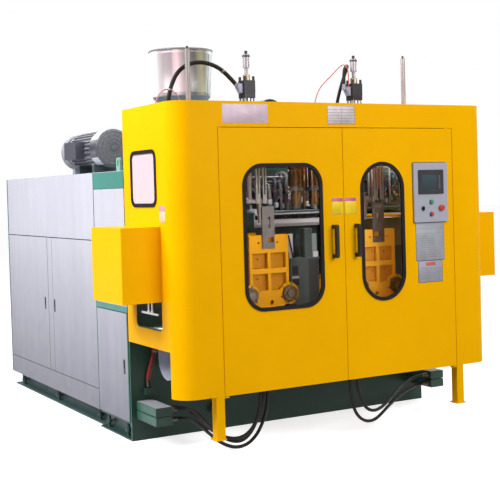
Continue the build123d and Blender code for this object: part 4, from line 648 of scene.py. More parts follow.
def base_green():
    """Green enamel of the front base, with painted shade on the bulkhead behind and under the cover and along
    its foot, and a paler patch of painted light behind the right window.
    """
    f = paint("front_base_green", linear(60, 122, 106), rough=0.42, coat=0.05, soil=0.12)
    face, top = BULKHEAD + 1.5, 1790
    painted_shade_wall = f.inside(y0=BULKHEAD - 45, y1=face, z1=top)
    # Painted shade on the bulkhead under the cover: near black-green low down, greyer from 800 to 1200 mm up.
    f.zone(painted_shade_wall, f.mix(f.along("z", 800, 1200), linear(40, 68, 58), linear(76, 92, 96)))
    # Painted light: a paler patch on the bulkhead behind the right window, where less light reaches.
    f.zone(f.inside(x0=500, z0=1200, z1=top, y1=face), linear(118, 128, 120))
    # Painted shade along the foot of the base behind the bulkhead.
    f.zone(f.inside(y0=BULKHEAD + 13, z1=135), linear(42, 66, 62))
    return f


def frame_green():
    """Green enamel of the cabinet frame, paler on its lifting lugs."""
    f = paint("frame_green", linear(66, 130, 121), rough=0.42, coat=0.05, soil=0.12)
    lug_x, lug_foot, lug = 1000, 1806, linear(124, 172, 158)
    f.zone(f.inside(x1=-lug_x, z0=lug_foot), lug)
    f.zone(f.inside(x0=lug_x, z0=lug_foot), lug)
    return f


def block_finish():
    """Green hydraulic blocks with a painted highlight on the top and painted shade on the front."""
    f = paint("block_green", linear(52, 92, 80), rough=0.45, coat=0.05, soil=0.16)
    # Painted highlight: the tops pale grey.
    f.zone(f.inside(z0=265.5), linear(146, 150, 157))
    # Painted shade: the fronts darker.
    f.zone(f.inside(y1=464), linear(56, 84, 73))
    return f


def carriage_finish():
    """Grey-green casting with bare steel where the guide rods pass."""
    f = paint("carriage_grey_green", linear(62, 84, 84), rough=0.45, coat=0.05, soil=0.15)
    f.zone(f.inside(y1=735, z0=935, z1=989), linear(132, 122, 112), 0.7, 0.4)
    return f


def panel_finish():
    """Grey control panel with dark collars round its controls."""
    f = paint("control_panel_grey", linear(170, 170, 182), rough=0.45, coat=0.0)
    f.zone(f.inside(x0=580, y1=-18.6), linear(70, 66, 72), 0.3, 0.4)
    return f


def heater_finish():
    """Bronze heater bands, darker in their upper row."""
    f = brushed("heater_brass", linear(140, 116, 84), rough=0.3, stretch=(1, 1, 0.1), scale=160)
    f.zone(f.inside(z0=1660), linear(104, 84, 64))
    return f


def selector_finish():
    """Black selector knob with a pale pointer line."""
    f = plastic("selector_black", linear(30, 28, 32), rough=0.35)
    f.zone(f.inside(x0=638.5, x1=643.5, y1=-36), linear(190, 188, 196), 0.6)
    return f


def motor_finish():
    """Dark motor body, dark end plate, and a pale fan cowl that is partly its own light grey and partly a
    painted highlight.
    """
    f = paint("motor_grey_enamel", linear(122, 123, 133), rough=0.34, coat=0.15, soil=0.15, specular=0.5)
    plate_back, cowl_back = MOTOR_FRONT + 10, MOTOR_FRONT + 150.5
    # Painted highlight over the cowl's own light grey: the fan cowl pale and glossy.
    f.zone(f.inside(y0=plate_back, y1=cowl_back), linear(206, 210, 219), rough=0.22)
    f.zone(f.inside(y1=plate_back), linear(86, 90, 95))
    f.zone(f.inside(x1=MOTOR_X - 140), linear(70, 71, 82))
    f.zone(f.inside(z1=MOTOR_Z - 130), linear(66, 80, 82))
    return f


def hopper_finish():
    """Polished sheet with a painted reflection of the workshop in upright bands across the side seen from the
    front left.

    Across is the place along a level line at the camera's yaw, from 0 to 1 over the hopper's diameter.
    """
    f = brushed("hopper_sheet_steel", linear(212, 208, 206), rough=0.3, stretch=(1, 1, 0.01), scale=150,
                metallic=0.12)
    f.put("Specular IOR Level", 0.15)
    span = 2 * HOPPER_RADIUS / 1000
    wide, deep = math.cos(math.radians(YAW)) / span, math.sin(math.radians(YAW)) / span
    across = f.maths("MULTIPLY_ADD", f.axis("x"), wide, 0.5 - metres("x", HOPPER_X) * wide)
    behind = f.maths("SUBTRACT", f.axis("y"), metres("y", HOPPER_Y))
    across = f.maths("SUBTRACT", across, f.maths("MULTIPLY", behind, deep))
    wander = f.clouds(3.0, 3, -0.012, 0.012, stretch=(1, 1, 0.4))
    # Painted reflection: upright colour bands across the drum, white at its left edge as a painted highlight.
    white = linear(246, 246, 248)
    bands = f.stops(f.maths("ADD", across, wander), [
        (0.0, white), (0.12, white), (0.155, linear(200, 190, 197)), (0.24, linear(166, 155, 156)),
        (0.38, linear(156, 144, 150)), (0.43, linear(206, 180, 184)), (0.48, linear(222, 190, 194)),
        (0.53, linear(182, 164, 168)), (0.60, linear(142, 134, 128)), (0.68, linear(118, 114, 110)),
        (0.74, linear(98, 97, 96)), (0.79, linear(132, 132, 116)), (0.84, linear(156, 151, 124)),
        (0.89, linear(130, 129, 116)), (0.93, linear(160, 167, 164)), (0.98, linear(222, 228, 230))])
    drum_foot, cone_top = 2462, 2446
    body = f.mix(f.along("z", drum_foot, cone_top), bands, linear(96, 108, 112))
    f.put("Base Color", f.mix(f.inside(z0=HOPPER_RIM - 13), body, linear(128, 126, 130)))
    return f


def platen_finish():
    """Yellow casting with the steel neck bracket and the grey bearing flanges in front of its face, painted
    shade in its pockets, and painted light that makes the right station's casting paler.
    """
    f = paint("platen_casting_yellow", linear(230, 157, 16), rough=0.5, coat=0.0, peel=0.0006,
              specular=0.12)
    steel = linear(116, 108, 104)
    pocket, proud, top, casting_top = PLATEN_FACE + 16, PLATEN_FACE - 0.5, 1350, 1353.1
    bracket_foot, flange_top, right_station = 1200, 1050, 100
    # Painted shade: the casting darker deep in its pockets.
    f.zone(f.inside(y0=pocket, z1=top), linear(192, 124, 20))
    # Painted light: the right station's face and pockets paler, where less light reaches them.
    f.zone(f.inside(x0=right_station, y1=pocket, z1=casting_top), linear(244, 176, 50))
    f.zone(f.inside(x0=right_station, y0=pocket, z1=top), linear(222, 152, 48))
    f.zone(f.inside(z0=casting_top), steel, 0.7, 0.45)
    f.zone(f.inside(y1=proud, z0=bracket_foot), steel, 0.7, 0.45)
    f.zone(f.inside(y1=proud, z1=flange_top), linear(120, 98, 74), 0.5, 0.5)
    return f


def blow_unit_finish():
    """Chrome barrel and tie rods, black head and nuts, bronze gland, blue-grey port block, steel straps."""
    f = Finish("blow_unit")
    strap_top, head_foot, port_foot, nut_foot, gland_top = 2090, 2298.5, 2290, 2383.5, 2430
    f.put("Base Color", linear(170, 168, 172))
    f.put("Metallic", 0.9)
    f.put("Roughness", f.clouds(60, 3, 0.2, 0.34, stretch=(1, 1, 0.05)))
    f.zone(f.inside(z1=strap_top), linear(142, 136, 132), 0.6, 0.46)
    f.zone(f.inside(z0=head_foot), linear(22, 20, 24), 0.1, 0.42)
    f.zone(f.inside(z0=nut_foot, z1=gland_top), linear(176, 158, 130), 0.7, 0.38)
    rod_offset, nut = 33, 9.5
    for centre in (-STATION_X, STATION_X):
        for x in (centre - rod_offset, centre + rod_offset):
            for y in (BLOW_Y - rod_offset, BLOW_Y + rod_offset):
                post = f.inside(x0=x - nut, x1=x + nut, y0=y - nut, y1=y + nut, z0=nut_foot)
                f.zone(post, linear(30, 29, 31), 0.1, 0.45)
        f.zone(f.inside(x0=centre - 130, x1=centre - 42.2, z0=port_foot), linear(142, 148, 172), 0.3, 0.42)
    f.bump(f.noise(300, 2), 0.0002, 0.3)
    return f


def sleeve_finish():
    """Polished stroke sleeve and rod with a black tip."""
    f = brushed("blow_sleeve", linear(172, 166, 174), rough=0.34, stretch=(1, 1, 0.2), scale=40,
                metallic=0.4)
    f.zone(f.inside(z0=2560.2), linear(36, 34, 36), 0.2, 0.4)
    f.zone(f.inside(z0=2541, z1=2552.5), linear(60, 56, 60), 0.4, 0.4)
    return f


def outer_rod_finish():
    """Bright outer tube with a dark tip."""
    f = brushed("outer_tube", linear(158, 148, 150), rough=0.34, scale=200, metallic=0.3)
    f.zone(f.inside(z0=2579.2), linear(46, 42, 44), 0.3, 0.4)
    return f


def screen_finish():
    """Dark bezel, dull green display with a plain column of keys beside it."""
    f = Finish("touch_screen_face")
    f.put("Base Color", f.mix(f.clouds(12, 2), linear(36, 36, 42), linear(46, 45, 52)))
    f.put("Roughness", 0.32)
    glass = f.inside(x0=632.5, x1=762.5, z0=1620.5, z1=1721.5, y0=SCREEN_FACE)
    f.zone(glass, f.mix(f.along("z", 1620, 1720), linear(52, 66, 72), linear(70, 86, 92)), rough=0.12)
    keys, lowest, pitch, half = 5, 1635, 18.5, 6
    for z in (lowest + i * pitch for i in range(keys)):
        f.zone(f.inside(x0=775, x1=789, z0=z - half, z1=z + half, y1=SCREEN_FACE + 2), linear(96, 92, 98))
    return f


def pane_finish(name, tint, transmission, rough, ior):
    """Acrylic pane with faint wiping marks."""
    f = Finish(name)
    f.put("Base Color", tint)
    f.put("Roughness", f.ramp(f.noise(6, 4, 0.6, (1, 1, 0.3)), 0.35, 0.75, rough, rough + 0.05))
    f.put("Transmission Weight", transmission)
    f.put("IOR", ior)
    return f


def chute_finish():
    """Pale sheet trough with painted shade inside its mouth."""
    f = paint("chute_sheet", linear(176, 184, 208), rough=0.36, coat=0.1, specular=0.4)
    # Painted shade: the trough dark inside its mouth.
    f.zone(f.inside(x0=-980, z0=580), linear(78, 82, 92))
    return f


FINISHES = (
    ("front_fascia side_panels side_boxes cover_frame left_door right_door", yellow),
    ("left_rear_platen right_rear_platen", yellow),
    ("cabinet_panels narrow_cabinet_door rear_cabinet_door_front rear_cabinet_door_back", cabinet_sheet()),
    ("front_base", base_green()),
    ("cabinet_frame", frame_green()),
    ("rear_skid", paint("skid_green", linear(62, 84, 84), rough=0.5, coat=0.0, soil=0.2, specular=0.25)),
    ("gearbox", paint("gearbox_green", linear(62, 116, 102), rough=0.4, coat=0.1, soil=0.14, specular=0.4)),
    ("valve_blocks", block_finish()),
    ("left_carriage right_carriage", carriage_finish()),
    ("control_panel", panel_finish()),
    ("belt_guard", paint("belt_guard_grey", linear(150, 152, 160), rough=0.45, coat=0.0)),
    ("discharge_chute", chute_finish()),
    ("drive_motor", motor_finish()),
    ("left_window_seal right_window_seal side_window_seals", rubber),
    ("left_window_pane right_window_pane",
     pane_finish("window_pane", (0.86, 0.88, 0.88, 1), transmission=1.0, rough=0.02, ior=1.02)),
    ("side_window_panes",
     pane_finish("frosted_side_pane", linear(206, 190, 200), transmission=0.0, rough=0.25, ior=1.4)),
    ("left_door_handle right_door_handle", handle_black),
    ("guide_bars", chrome),
    ("left_outer_rod right_outer_rod", outer_rod_finish()),
    ("outer_cylinders", bright_steel),
    ("barrel_cover", paint("barrel_cover_grey", linear(148, 152, 154), rough=0.45, coat=0.05)),
    ("extruder_barrel die_head", plain_steel),
    ("heater_bands", heater_finish()),
    ("touch_screen", screen_finish()),
    ("selector_switch", selector_finish()),
    ("green_button", green_plastic),
    ("red_button", dark_red_plastic),
    ("stop_button", red_plastic),
    ("left_front_platen right_front_platen", platen_finish()),
    ("blow_cylinders", blow_unit_finish()),
    ("left_blow_pin right_blow_pin", sleeve_finish()),
)
for nodes, finish in FINISHES:
    dress(nodes, finish)


# Bare plates on the cover and doors

def ruled(name, ground, ink, rows, columns=(), half_line=0.9):
    """A flat plate with ruled lines at given heights and places across."""
    f = plastic(name, ground, rough=0.42)
    lines = [f.near("z", z, half_line) for z in rows] + [f.near("x", x, half_line) for x in columns]
    f.zone(f.either(*lines), ink)
    return f


def door_stickers():
    """A bare yellow plate with a plain coloured head on each door, on a slightly larger rim."""
    face = plastic("bare_sticker_yellow", linear(240, 206, 14), rough=0.35)
    face.zone(face.inside(z0=1558), linear(192, 84, 112))
    rim = plastic("sticker_rim", linear(196, 168, 96))
    z, wide, high = 1529, 88, 104
    for x, body in ((-50, "left_door"), (53, "right_door")):
        add_mesh(f"{body}_sticker", plate(x, z, wide, high, 1.0, 2), face, body)
        border = plate(x, z, wide + 4, high + 5, 0.6, 2, 0.3)
        add_mesh(f"{body}_sticker_rim", border, rim, body)


def side_sticker():
    """A bare pale plate on the left side: a front plate turned a quarter about Z and moved to the panel."""
    pale = plastic("bare_sticker_pale", linear(214, 196, 172))
    pale.zone(pale.inside(z0=1532), linear(186, 136, 158))
    points, faces = plate(0, 1516, 80, 100, 1.0, 8, y=MIDDLE_Y)
    quarter_turn = np.array([[0, 1, 0], [-1, 0, 0], [0, 0, 1]])
    points = points @ quarter_turn.T + at(-HALF_WIDTH, 186, 0)
    add_mesh("side_sticker", (points, faces), pale)


def cover_plates():
    """A blank plate and a ruled plate above the doors."""
    blank = plastic("bare_plate_white", linear(214, 190, 202))
    add_mesh("name_place", plate(-722, 2124, 325, 117, 1.2, 4), blank)
    rows = (2064, 2083, 2101, 2119, 2137, 2157, 2180)
    grid = ruled("grid_plate", linear(206, 194, 198), linear(120, 104, 104), rows, (-111, -3, 101), 1.2)
    add_mesh("ruled_plate", plate(-5, 2122, 216, 122, 1.2, 2), grid)


def door_plates():
    """A chart and a notes plate under the control panel, each on a dark rim, and the panel's gasket."""
    pitch = 16
    chart = ruled("chart_plate", linear(160, 160, 168), linear(124, 122, 132),
                  [1352] + [1318 - pitch * i for i in range(11)])
    notes = ruled("notes_plate", linear(156, 156, 168), linear(118, 116, 128),
                  [1080 - pitch * i for i in range(5)])
    notes.zone(notes.inside(x0=665, x1=748, z0=1097, z1=1121), linear(188, 84, 70))
    rim = plastic("plate_rim", linear(58, 54, 60), rough=0.5)
    for name, shape, finish, slot in (
            ("chart_place", plate(708, 1266, 243, 262, 1.5, 2), chart, "grey_paint"),
            ("notes_place", plate(705, 1058, 207, 145, 1.5, 2), notes, "grey_paint"),
            ("chart_rim", plate(708, 1266, 248, 267, 0.9), rim, "black_plastic"),
            ("notes_rim", plate(705, 1058, 213, 151, 0.9), rim, "black_plastic"),
            ("control_panel_gasket", plate(713, 1600, 296, 414, 2.5, 8), rubber, "black_rubber")):
        add_mesh(name, shape, finish, "right_door")


# Fine pieces

def fan_grille():
    """Shallow ribbed disc set into the fan cowl's face: low rings and spokes round a plain hub.

    A ring is a low band turned about the motor's axis, and spoke k runs out at k sixteenths of a turn.
    """
    centre = (MOTOR_X, MOTOR_FRONT, MOTOR_Z)
    half, low, spokes = 3, -1.5, 16
    parts = []
    for r in range(44, 137, 30):
        band = [(r - half, 0), (r - half, low), (r + half, low), (r + half, 0)]
        parts.append(turned(band, centre, BACK, 48, True))
    for k in range(spokes):
        c, s = math.cos(2 * math.pi * k / spokes), math.sin(2 * math.pi * k / spokes)
        ends = [(MOTOR_X + r * c, MOTOR_FRONT - 0.6, MOTOR_Z + r * s) for r in (24, 134)]
        parts.append(pipe(ends, 1.8, 6))
    parts.append(turned([(0.1, -5), (20, -5), (26, -3), (26, 0)], centre, BACK))
    grey = paint("cowl_face", linear(82, 85, 90), rough=0.45, coat=0.0)
    add_mesh("fan_grille", joined(parts), grey)


def hopper_sheet():
    """Hopper in rolled sheet: a slightly tapered drum with a rolled rim and two bands, and a cone below.

    Each profile point is (radius, height, share). Its circle is centre + radius*(cos t, sin t), where the
    centre lies that share of the way from the throat's centre to the drum's.
    """
    r, top, low, taper = HOPPER_RADIUS, HOPPER_RIM, 2449, 24
    foot = r - taper
    lower_band = ((low + 20, 0), (low + 24, 3), (low + 32, 3), (low + 36, 0))
    upper_band = ((top - 44, 0), (top - 40, 2.5), (top - 34, 2.5), (top - 30, 0))
    side = [(foot + taper * (z - low) / (top - low) + proud, z, 1) for z, proud in lower_band + upper_band]
    rim = [(r, top - 13, 1), (r + 5, top - 12, 1), (r + 6.5, top - 6, 1), (r + 5, top, 1), (r - 1, top, 1)]
    bore, flange, neck, seat = 57, 82, 60, 2245
    throat = [(bore, seat, 0), (flange, seat, 0), (flange, seat + 12, 0), (neck, seat + 12, 0)]
    inner = [(r - 3, top - 5, 1), (foot - 3, low + 2, 1), (bore, seat + 14, 0)]
    profile = [*throat, (foot - 2, low - 4, 1), (foot, low + 2, 1), *side, *rim, *inner]
    radius, z, share = np.array(profile, float).T[:, :, None]
    ring = circle(np.array([1.0, 0.0]), np.array([0.0, 1.0]), 96)
    points = np.stack([share * HOPPER_X + radius * ring[:, 0],
                       THROAT_Y + share * (HOPPER_Y - THROAT_Y) + radius * ring[:, 1],
                       np.repeat(z, len(ring), 1)], -1)
    shape = (to_frame(points.reshape(-1, 3)), ring_faces(len(profile), len(ring), True))
    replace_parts(add_mesh("hopper_sheet", shape, hopper_finish()), "hopper")
    hopper_weld(foot + 2, low + 4, top - low - 30)


def hopper_weld(radius, foot, length):
    """The drum's upright weld: a thin bar on the side seen from the front left, leaning with the taper."""
    out_x, out_y, lean = 0.6, -0.8, 0.06
    place = (HOPPER_X + out_x * radius, HOPPER_Y + out_y * radius, foot)
    weld = rod(1.5, length, place, (lean * out_x, lean * out_y, 1), 8)
    add_mesh("hopper_weld", weld, plain_steel)


def platen_screws():
    """Cap screws round each bearing flange of the front platens: six on each of two circles."""
    flange_circle, casting_circle, first_angle = 44, 63, 0.3
    for side, name in SIDES:
        screws = []
        for end in (-1, 1):
            cx = side * STATION_X + end * EAR_X
            for k in range(6):
                a = k * math.pi / 3 + first_angle
                for radius, face, across, high in ((flange_circle, FLANGE_FACE, 8, 5),
                                                   (casting_circle, PLATEN_FACE, 9, 7)):
                    place = (cx + radius * math.cos(a), face, EAR_Z + radius * math.sin(a))
                    screws.append(bolt(place, across, high))
        body = f"{name}_front_platen"
        add_mesh(f"{body}_screws", joined(screws), plain_steel, body, smooth=False)


def hose_fittings():
    """Union nuts on the valve blocks and behind the doors, and crimped ferrules on the hoses' ends."""
    port_nut = [(17, 0), (19, 2), (19, 13), (17, 15)]
    port_ferrule = [(14.6, 14), (14.6, 40), (13.4, 42), (13.4, 50), (12, 52)]
    top_nut = [(13.5, 0), (15.5, 2), (15.5, 12), (13.5, 14)]
    top_ferrule = [(12, -34), (13.6, -32), (13.6, 10), (12.6, 14)]
    air_ferrule = [(11, -26), (12.6, -24), (12.6, 4), (14, 6), (14, 20)]
    port_depth, nut_rise = 25, 14
    nuts, ferrules = [], []
    for name in FLOOR_HOSES:
        (x, y, z), (top_x, top_y, top_z) = HOSES[name][2][0], HOSES[name][2][-1]
        inward = -math.copysign(1, x)
        port, way = (x - inward * port_depth, y, z), (inward, 0, 0)
        nuts.append(turned(port_nut, port, way, 6))
        nuts.append(turned(top_nut, (top_x, top_y, top_z + nut_rise), UP, 6))
        ferrules.append(turned(port_ferrule, port, way, 24))
        ferrules.append(turned(top_ferrule, (top_x, top_y, top_z), UP, 24))
    for end, way in ((0, UP), (-1, (0, 0, -1))):
        ferrules.append(turned(air_ferrule, HOSES["red_air_hose"][2][end], way, 24))
    add_mesh("block_fittings", joined(nuts), brass, smooth=False)
    steel = brushed("ferrule_steel", linear(88, 78, 70), rough=0.4, stretch=(1, 1, 1), scale=120,
                    metallic=0.8)
    add_mesh("hose_ferrules", joined(ferrules), steel)


def door_handles():
    """Flat-bar pull handles: a C profile of the bar and its two feet, carried along X and bevelled."""
    low, high, foot, reach, gap, cut = 1193, 1410, 26, 56, 29, 10
    inner = [(0, low), (0, low + foot), (-gap, low + foot), (-gap, high - foot), (0, high - foot), (0, high)]
    outer = [(cut - reach, high), (-reach, high - cut), (-reach, low + cut), (cut - reach, low)]
    middle, half = 89, 12
    for side, name in SIDES:
        bar = extruded(inner + outer, side * middle - half, side * middle + half)
        obj = add_mesh(f"{name}_door_pull", bar, handle_black, f"{name}_door", smooth=False)
        bevel = obj.modifiers.new("edge", "BEVEL")
        bevel.width, bevel.segments = 0.004, 3
        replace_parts(obj, f"{name}_door_handle")


def button_caps():
    """Domed caps on the two push buttons, turned from one profile."""
    dome = [(0.1, 0), (13, 0), (14, 1.5), (14, 4), (12, 6), (0.1, 7)]
    for body, z, finish in (("green_button", 1534, green_plastic), ("red_button", 1450, dark_red_plastic)):
        cap = turned(dome, (BUTTON_X, BUTTON_FACE, z), FORWARD, 28)
        add_mesh(f"{body}_cap", cap, finish, body)


def head_skirts():
    """Black lower half of each blow unit's head block."""
    half, foot, top = 42, 2266, 2300
    skirts = [brick(x - half, x + half, BLOW_Y - half, BLOW_Y + half, foot, top, 2)
              for x in (-STATION_X, STATION_X)]
    add_mesh("blow_head_skirts", joined(skirts), handle_black, smooth=False)


def red_tap():
    """Small red drain tap on the bulkhead behind the left leg."""
    x, y, z = -617, 740, 158
    stub = turned([(11, -44), (11, -36), (9, -34), (9, 0)], (x, BULKHEAD, z), BACK)
    add_mesh("drain_tap_stub", stub, brass)
    handle = turned([(10, -36), (15, -30), (15, 24), (9, 34)], (x, y, z), (0.2, 0, 1), 16)
    add_mesh("drain_tap_handle", handle, red_plastic)


def cable_tray():
    """White trough with a black drag chain, hung from the bulkhead over the carriages' slide blocks."""
    reach, back, hanger, half = 335, 604, 320, 8
    web = brick(-reach, reach, back - 4, back, 1392, 1480)
    roof = brick(-reach, reach, 560, back, 1478, 1483)
    lip = [(602, 1390), (602, 1393), (572, 1414), (568, 1440), (564, 1440), (568, 1412)]
    trough = [web, roof, extruded(lip, -reach, reach)]
    for x in (-hanger, hanger):
        arm = brick(x - half, x + half, back - 6, BULKHEAD, 1494, 1518)
        drop = brick(x - half, x + half, back - 6, back + 2, 1470, 1500)
        trough += [arm, drop]
    add_mesh("cable_tray", joined(trough), white_enamel, smooth=False)
    link, pitch = 15, 21
    links = [brick(x, x + link, 570, 596, 1444, 1472, 3) for x in range(-reach + 4, reach - 18, pitch)]
    add_mesh("drag_chain", joined(links), black_plastic, smooth=False)


def drive_finish():
    """Blue-grey paint with two openings drawn in painted shade, a pale bar between them and a dark cover on
    the front.
    """
    f = paint("drive_blue_grey", linear(84, 96, 98), rough=0.4, coat=0.1, soil=0.15)
    # Painted shade: the two openings are near-black patches on the flat front.
    front, dark, pale = 541, linear(26, 24, 28), linear(206, 210, 214)
    for x0, x1, z0, z1, colour in ((-75, -26, 1050, 1112, dark), (-75, -22, 976, 1020, dark),
                                   (-78, -20, 1027, 1040, pale)):
        f.zone(f.inside(y1=front, x0=x0, x1=x1, z0=z0, z1=z1), colour)
    f.zone(f.inside(x0=60, z0=840, z1=1155, y1=front), linear(64, 66, 66))
    return f


def drive_column():
    """Blue-grey clamp drive on the beam that ties the two carriages together, with its guards and rods."""
    beam, column = brick(-293, 293, 500, 640, 801, 839, 3), brick(-95, 150, 540, 650, 838, 1160, 6)
    lid, post = brick(-101, 156, 534, 654, 1152, 1168, 2), brick(42, 112, 560, 620, 1160, 1372, 8)
    guards = [brick(-93, -57, 552, 556, 1166, 1338), brick(112, 152, 552, 556, 1166, 1206)]
    side_guard = brick(112, 172, 600, 604, 1150, 1330)
    rods = [pipe([(-100, 546, 1166), (-100, 546, 1200), (-150, 520, 1330)], 7),
            pipe([(-60, 545, 1166), (-96, 545, 1330)], 5)]
    pale = paint("pale_guard", linear(150, 168, 178), rough=0.3)
    for name, shape, finish, smooth, slot in (
            ("drive_column", joined([beam, column, lid, post]), drive_finish(), False, "green_paint"),
            ("drive_guards", joined(guards), white_enamel, False, "grey_paint"),
            ("drive_side_guard", side_guard, pale, False, "grey_paint"),
            ("drive_rods", joined(rods), black_plastic, True, "black_plastic")):
        add_mesh(name, shape, finish, "left_carriage", smooth)


def service_looks():
    """The finish and slot of each group of service parts."""
    return {
        "slate": (paint("pipe_slate", linear(98, 104, 110), rough=0.4, specular=0.4), "blue_paint"),
        "steel": (brushed("pipe_steel", linear(160, 158, 160), rough=0.4, stretch=(1, 1, 0.1), scale=120,
                          metallic=0.5), "steel"),
        "brass": (brass, "brass"),
        "teal": (paint("manifold_teal", linear(62, 94, 96), rough=0.45, soil=0.2), "green_paint"),
        "plum": (paint("valve_plum", linear(80, 72, 92), rough=0.4), "blue_paint"),
        "white": (white_enamel, "grey_paint")}


def shaded_look(key, x):
    """A group's key, with plain slate as painted shade for the bright metals behind the darker right window.
    """
    right_window = 500
    # Painted shade: steel and brass become slate behind the right window.
    return "slate" if x > right_window and key in ("steel", "brass") else key


def service_riser(groups, draw, i, x):
    """Riser number i near x: a pipe that bends back into the wall, its union and sometimes a valve."""
    order = ("slate", "steel", "slate", "plum", "brass", "slate", "teal", "steel")
    x += draw.uniform(-6, 6)
    y, r = draw.uniform(655, 738), draw.uniform(3.5, 11)
    low, high = draw.uniform(1494, 1560), draw.uniform(1640, 1780)
    bend = (x + draw.uniform(-26, 26), y + 14, high)
    key = shaded_look(order[int(draw.integers(0, len(order)))], x)
    groups[key].append(pipe([(x, y, low), (x, y, high - 30), bend, (x, BULKHEAD, high + 10)], r, 8))
    union = [(r + 2, 0), (r + 4.5, 2), (r + 4.5, 15), (r + 2, 17)]
    place = (x, y, draw.uniform(1565, high - 60))
    groups["brass" if i % 3 else "steel"].append(turned(union, place, UP, 6))
    if i % 4 == 0:
        groups["white"].append(brick(x - 13, x + 13, y - 16, y + 8, low + 10, low + 44, 3))
    if i % 5 == 0:
        groups["plum"].append(brick(x - 19, x + 19, y - 8, BULKHEAD, low + 60, low + 122, 3))


def service_manifold(groups, x0, x1):
    """Lower manifold between two places across, with four level pipes above it that bend into the wall."""
    groups["teal"].append(brick(x0, x1, 640, BULKHEAD, 1478, 1500, 4))
    end, y = 20, 716
    for z, r, key in ((1588, 9, "steel"), (1646, 6, "slate"), (1700, 12, "plum"), (1738, 5, "steel")):
        route = [(x0, BULKHEAD, z), (x0 + end, y, z), (x1 - end, y, z), (x1, BULKHEAD, z)]
        groups[shaded_look(key, x0)].append(pipe(route, r))


def service_pipes():
    """Pipes, unions, manifolds and small valves on the bulkhead, seen through the front windows."""
    draw = np.random.default_rng(11)
    looks = service_looks()
    groups = {key: [] for key in looks}
    middle, right, left = range(-420, 421, 16), range(560, 1020, 21), range(-1000, -560, 34)
    hose_ends, clearance = (180, 360), 24
    for i, x in enumerate([*middle, *right, *left]):
        if min(abs(x - place) for place in hose_ends) >= clearance:
            service_riser(groups, draw, i, x)
    for x0, x1 in ((-430, 430), (540, 1030), (-1030, -540)):
        service_manifold(groups, x0, x1)
    for key, (finish, slot) in looks.items():
        add_mesh(f"service_{key}", joined(groups[key]), finish, smooth=False)


def shade_sheet():
    """Thin dark sheet that stands on the bulkhead's top edge: painted shade over the view above the bulkhead.
    """
    reach, front, thick, foot, top = 1140, 773, 4, 1801, 1900
    sheet = brick(-reach, reach, front, front + thick, foot, top)
    # Painted shade: a dark sheet that stands in for the shade above the bulkhead.
    green = paint("cable_shield_green", linear(52, 64, 68), rough=0.5, coat=0.0)
    add_mesh("shade_sheet", sheet, green, smooth=False)


def door_seal():
    """Rubber angle behind the doors' top edge: down behind the doors and up against the fascia's back."""
    front, back, foot, top, thick, reach = 3.2, 40, 2028, 2048, 4, 880
    angle = [(front, top - thick), (back - 3.5, top - thick), (back - 3.5, foot), (back, foot), (back, top),
             (front, top)]
    add_mesh("door_top_seal", extruded(angle, -reach, reach), rubber, smooth=False)


def side_gates():
    """Bright bar that hangs on two rods in each lower side opening, from brackets on the side panel."""
    parts = []
    rod_x, bar_top, bracket_foot, bracket_top = 1199, 889, 1436, 1456
    for side in (-1, 1):
        bar = sorted((side * (rod_x + 5), side * (rod_x - 5)))
        bracket = sorted((side * SIDE_INNER, side * 1190))
        parts.append(brick(*bar, 331, 586, bar_top - 15, bar_top, 1.5))
        for y in (424, 479):
            parts.append(rod(6, 561, (side * rod_x, y, bar_top - 4), UP, 14))
            parts.append(rod(10, 12, (side * rod_x, y, bar_top), UP, 6))
            parts.append(brick(*bracket, y - 14, y + 14, bracket_foot, bracket_top, 1))
    add_mesh("side_gates", joined(parts), bright_steel, smooth=False)


def head_rods():
    """Adjusting rods beside the dies, and the air pipe with a stack of 17 collars."""
    rods = [turned([(5, 0), (5, 238), (3, 240)], (x, 418, 1662), UP, 12) for x in (-8, 28)]
    add_mesh("head_rods", joined(rods), bright_steel)
    x, y, foot, collar_foot, pitch = -70, 560, 1572, 1580, 24
    collar = [(6, 0), (10, 3), (10, 9), (6, 12)]
    stack = [turned(collar, (x, y, collar_foot + pitch * i), UP, 12) for i in range(17)]
    add_mesh("head_air_pipe", joined([rod(6, 452, (x, y, foot)), *stack]), bright_steel)


def right_station_box():
    """Copper-coloured valve box with its pipes behind the right window."""
    copper = brushed("copper_box", linear(146, 104, 80), rough=0.45, stretch=(1, 1, 1), scale=60,
                     metallic=0.5)
    box = brick(700, 790, 640, BULKHEAD, 1640, 1790, 6)
    add_mesh("right_valve_box", box, copper, smooth=False)
    y, foot, top = 600, 1530, 1790
    rods = [pipe([(x, y, foot), (x, y, top), (x, BULKHEAD - 3, top + 10)], 7) for x in (640, 668, 830)]
    grey = paint("air_pipe_grey", linear(150, 156, 156), rough=0.4)
    add_mesh("right_air_pipes", joined(rods), grey)


for add_pieces in (door_stickers, side_sticker, cover_plates, door_plates, fan_grille, platen_screws,
                   hose_fittings, red_tap, cable_tray, drive_column, door_handles, button_caps, head_skirts,
                   hopper_sheet, service_pipes, shade_sheet, door_seal, side_gates, head_rods,
                   right_station_box):
    add_pieces()


# Floor, light and world

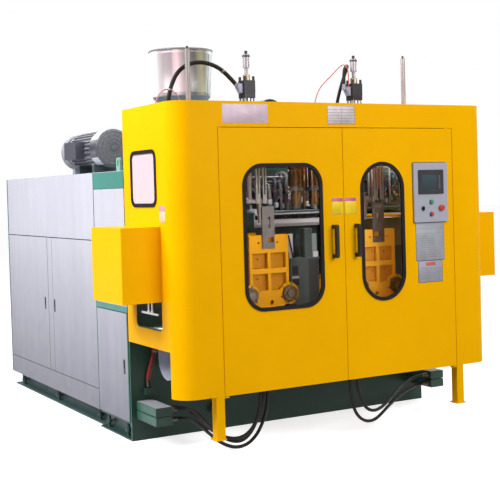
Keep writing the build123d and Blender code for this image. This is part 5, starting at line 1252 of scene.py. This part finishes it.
def floor_plane():
    """A large pale floor, which glows a little for the camera and throws little light up at the machine."""
    f = Finish("pale_floor")
    ray = f.new("LightPath").outputs
    seen = f.either(ray["Is Camera Ray"], ray["Is Glossy Ray"], ray["Is Transmission Ray"])
    f.put("Base Color", f.mix(seen, (0.2, 0.2, 0.2, 1), (0.55, 0.55, 0.56, 1)))
    f.put("Roughness", 0.9)
    f.put("Specular IOR Level", 0.1)
    glow = f.new("Emission", Strength=0.72)
    both = f.new("AddShader")
    f.links.new(f.shader.outputs[0], both.inputs[0])
    f.links.new(glow.outputs[0], both.inputs[1])
    surface = f.blend(seen, f.shader.outputs[0], both.outputs[0])
    f.links.new(surface, f.nodes["Material Output"].inputs["Surface"])
    mesh = bpy.data.meshes.new("floor")
    reach = 60.0
    mesh.from_pydata([(-reach, -reach, 0), (reach, -reach, 0), (reach, reach, 0), (-reach, reach, 0)], [],
                     [(0, 1, 2, 3)])
    mesh.materials.append(f.material)
    obj = bpy.data.objects.new("floor", mesh)
    bpy.context.scene.collection.objects.link(obj)


def studio_world(horizon, zenith):
    """Soft light that grows from the horizon upwards, and plain white for the camera and through panes."""
    world = bpy.data.worlds.new("studio")
    bpy.context.scene.world = world
    sky = Graph(world)
    white = (1, 1, 1, 1)
    back = sky.nodes["Background"]
    back.inputs["Color"].default_value = white
    axes = sky.new("SeparateXYZ", Vector=sky.new("TexCoord").outputs["Generated"])
    sky.feed(back.inputs["Strength"], sky.ramp(axes.outputs["Z"], 0.0, 1.0, horizon, zenith))
    ray = sky.new("LightPath").outputs
    seen = sky.either(ray["Is Camera Ray"], ray["Is Transmission Ray"])
    surface = sky.blend(seen, back.outputs[0], sky.new("Background", Color=white).outputs[0])
    sky.links.new(surface, sky.nodes["World Output"].inputs["Surface"])


def lamp(name, place, target, size, power):
    """A soft rectangular lamp aimed at a point."""
    data = bpy.data.lights.new(name, "AREA")
    data.shape = "RECTANGLE"
    data.size, data.size_y = size
    data.energy = power
    obj = bpy.data.objects.new(name, data)
    obj.location = place
    obj.rotation_euler = (Vector(target) - Vector(place)).to_track_quat("-Z", "Y").to_euler()
    bpy.context.scene.collection.objects.link(obj)


# Lamps: place and aim in metres, size in metres, power in watts
LAMPS = (
    ("left_key", (-6.0, -0.6, 5.6), (-1.0, 0.2, 1.2), (4.5, 4.0), 780),
    ("front_fill", (2.0, -8.5, 4.6), (0.2, -1.4, 1.2), (5.0, 4.0), 420),
    ("right_fill", (7.0, 1.5, 4.5), (1.0, 0.3, 1.1), (4.5, 4.0), 190),
    ("rear_fill", (-0.5, 8.5, 4.5), (0.0, 1.6, 1.2), (5.0, 4.0), 120),
    ("station_fill", (0.85, -1.1, 3.3), (0.85, -1.15, 1.4), (0.9, 0.5), 45),
)
floor_plane()
studio_world(horizon=0.12, zenith=0.62)
for values in LAMPS:
    lamp(*values)
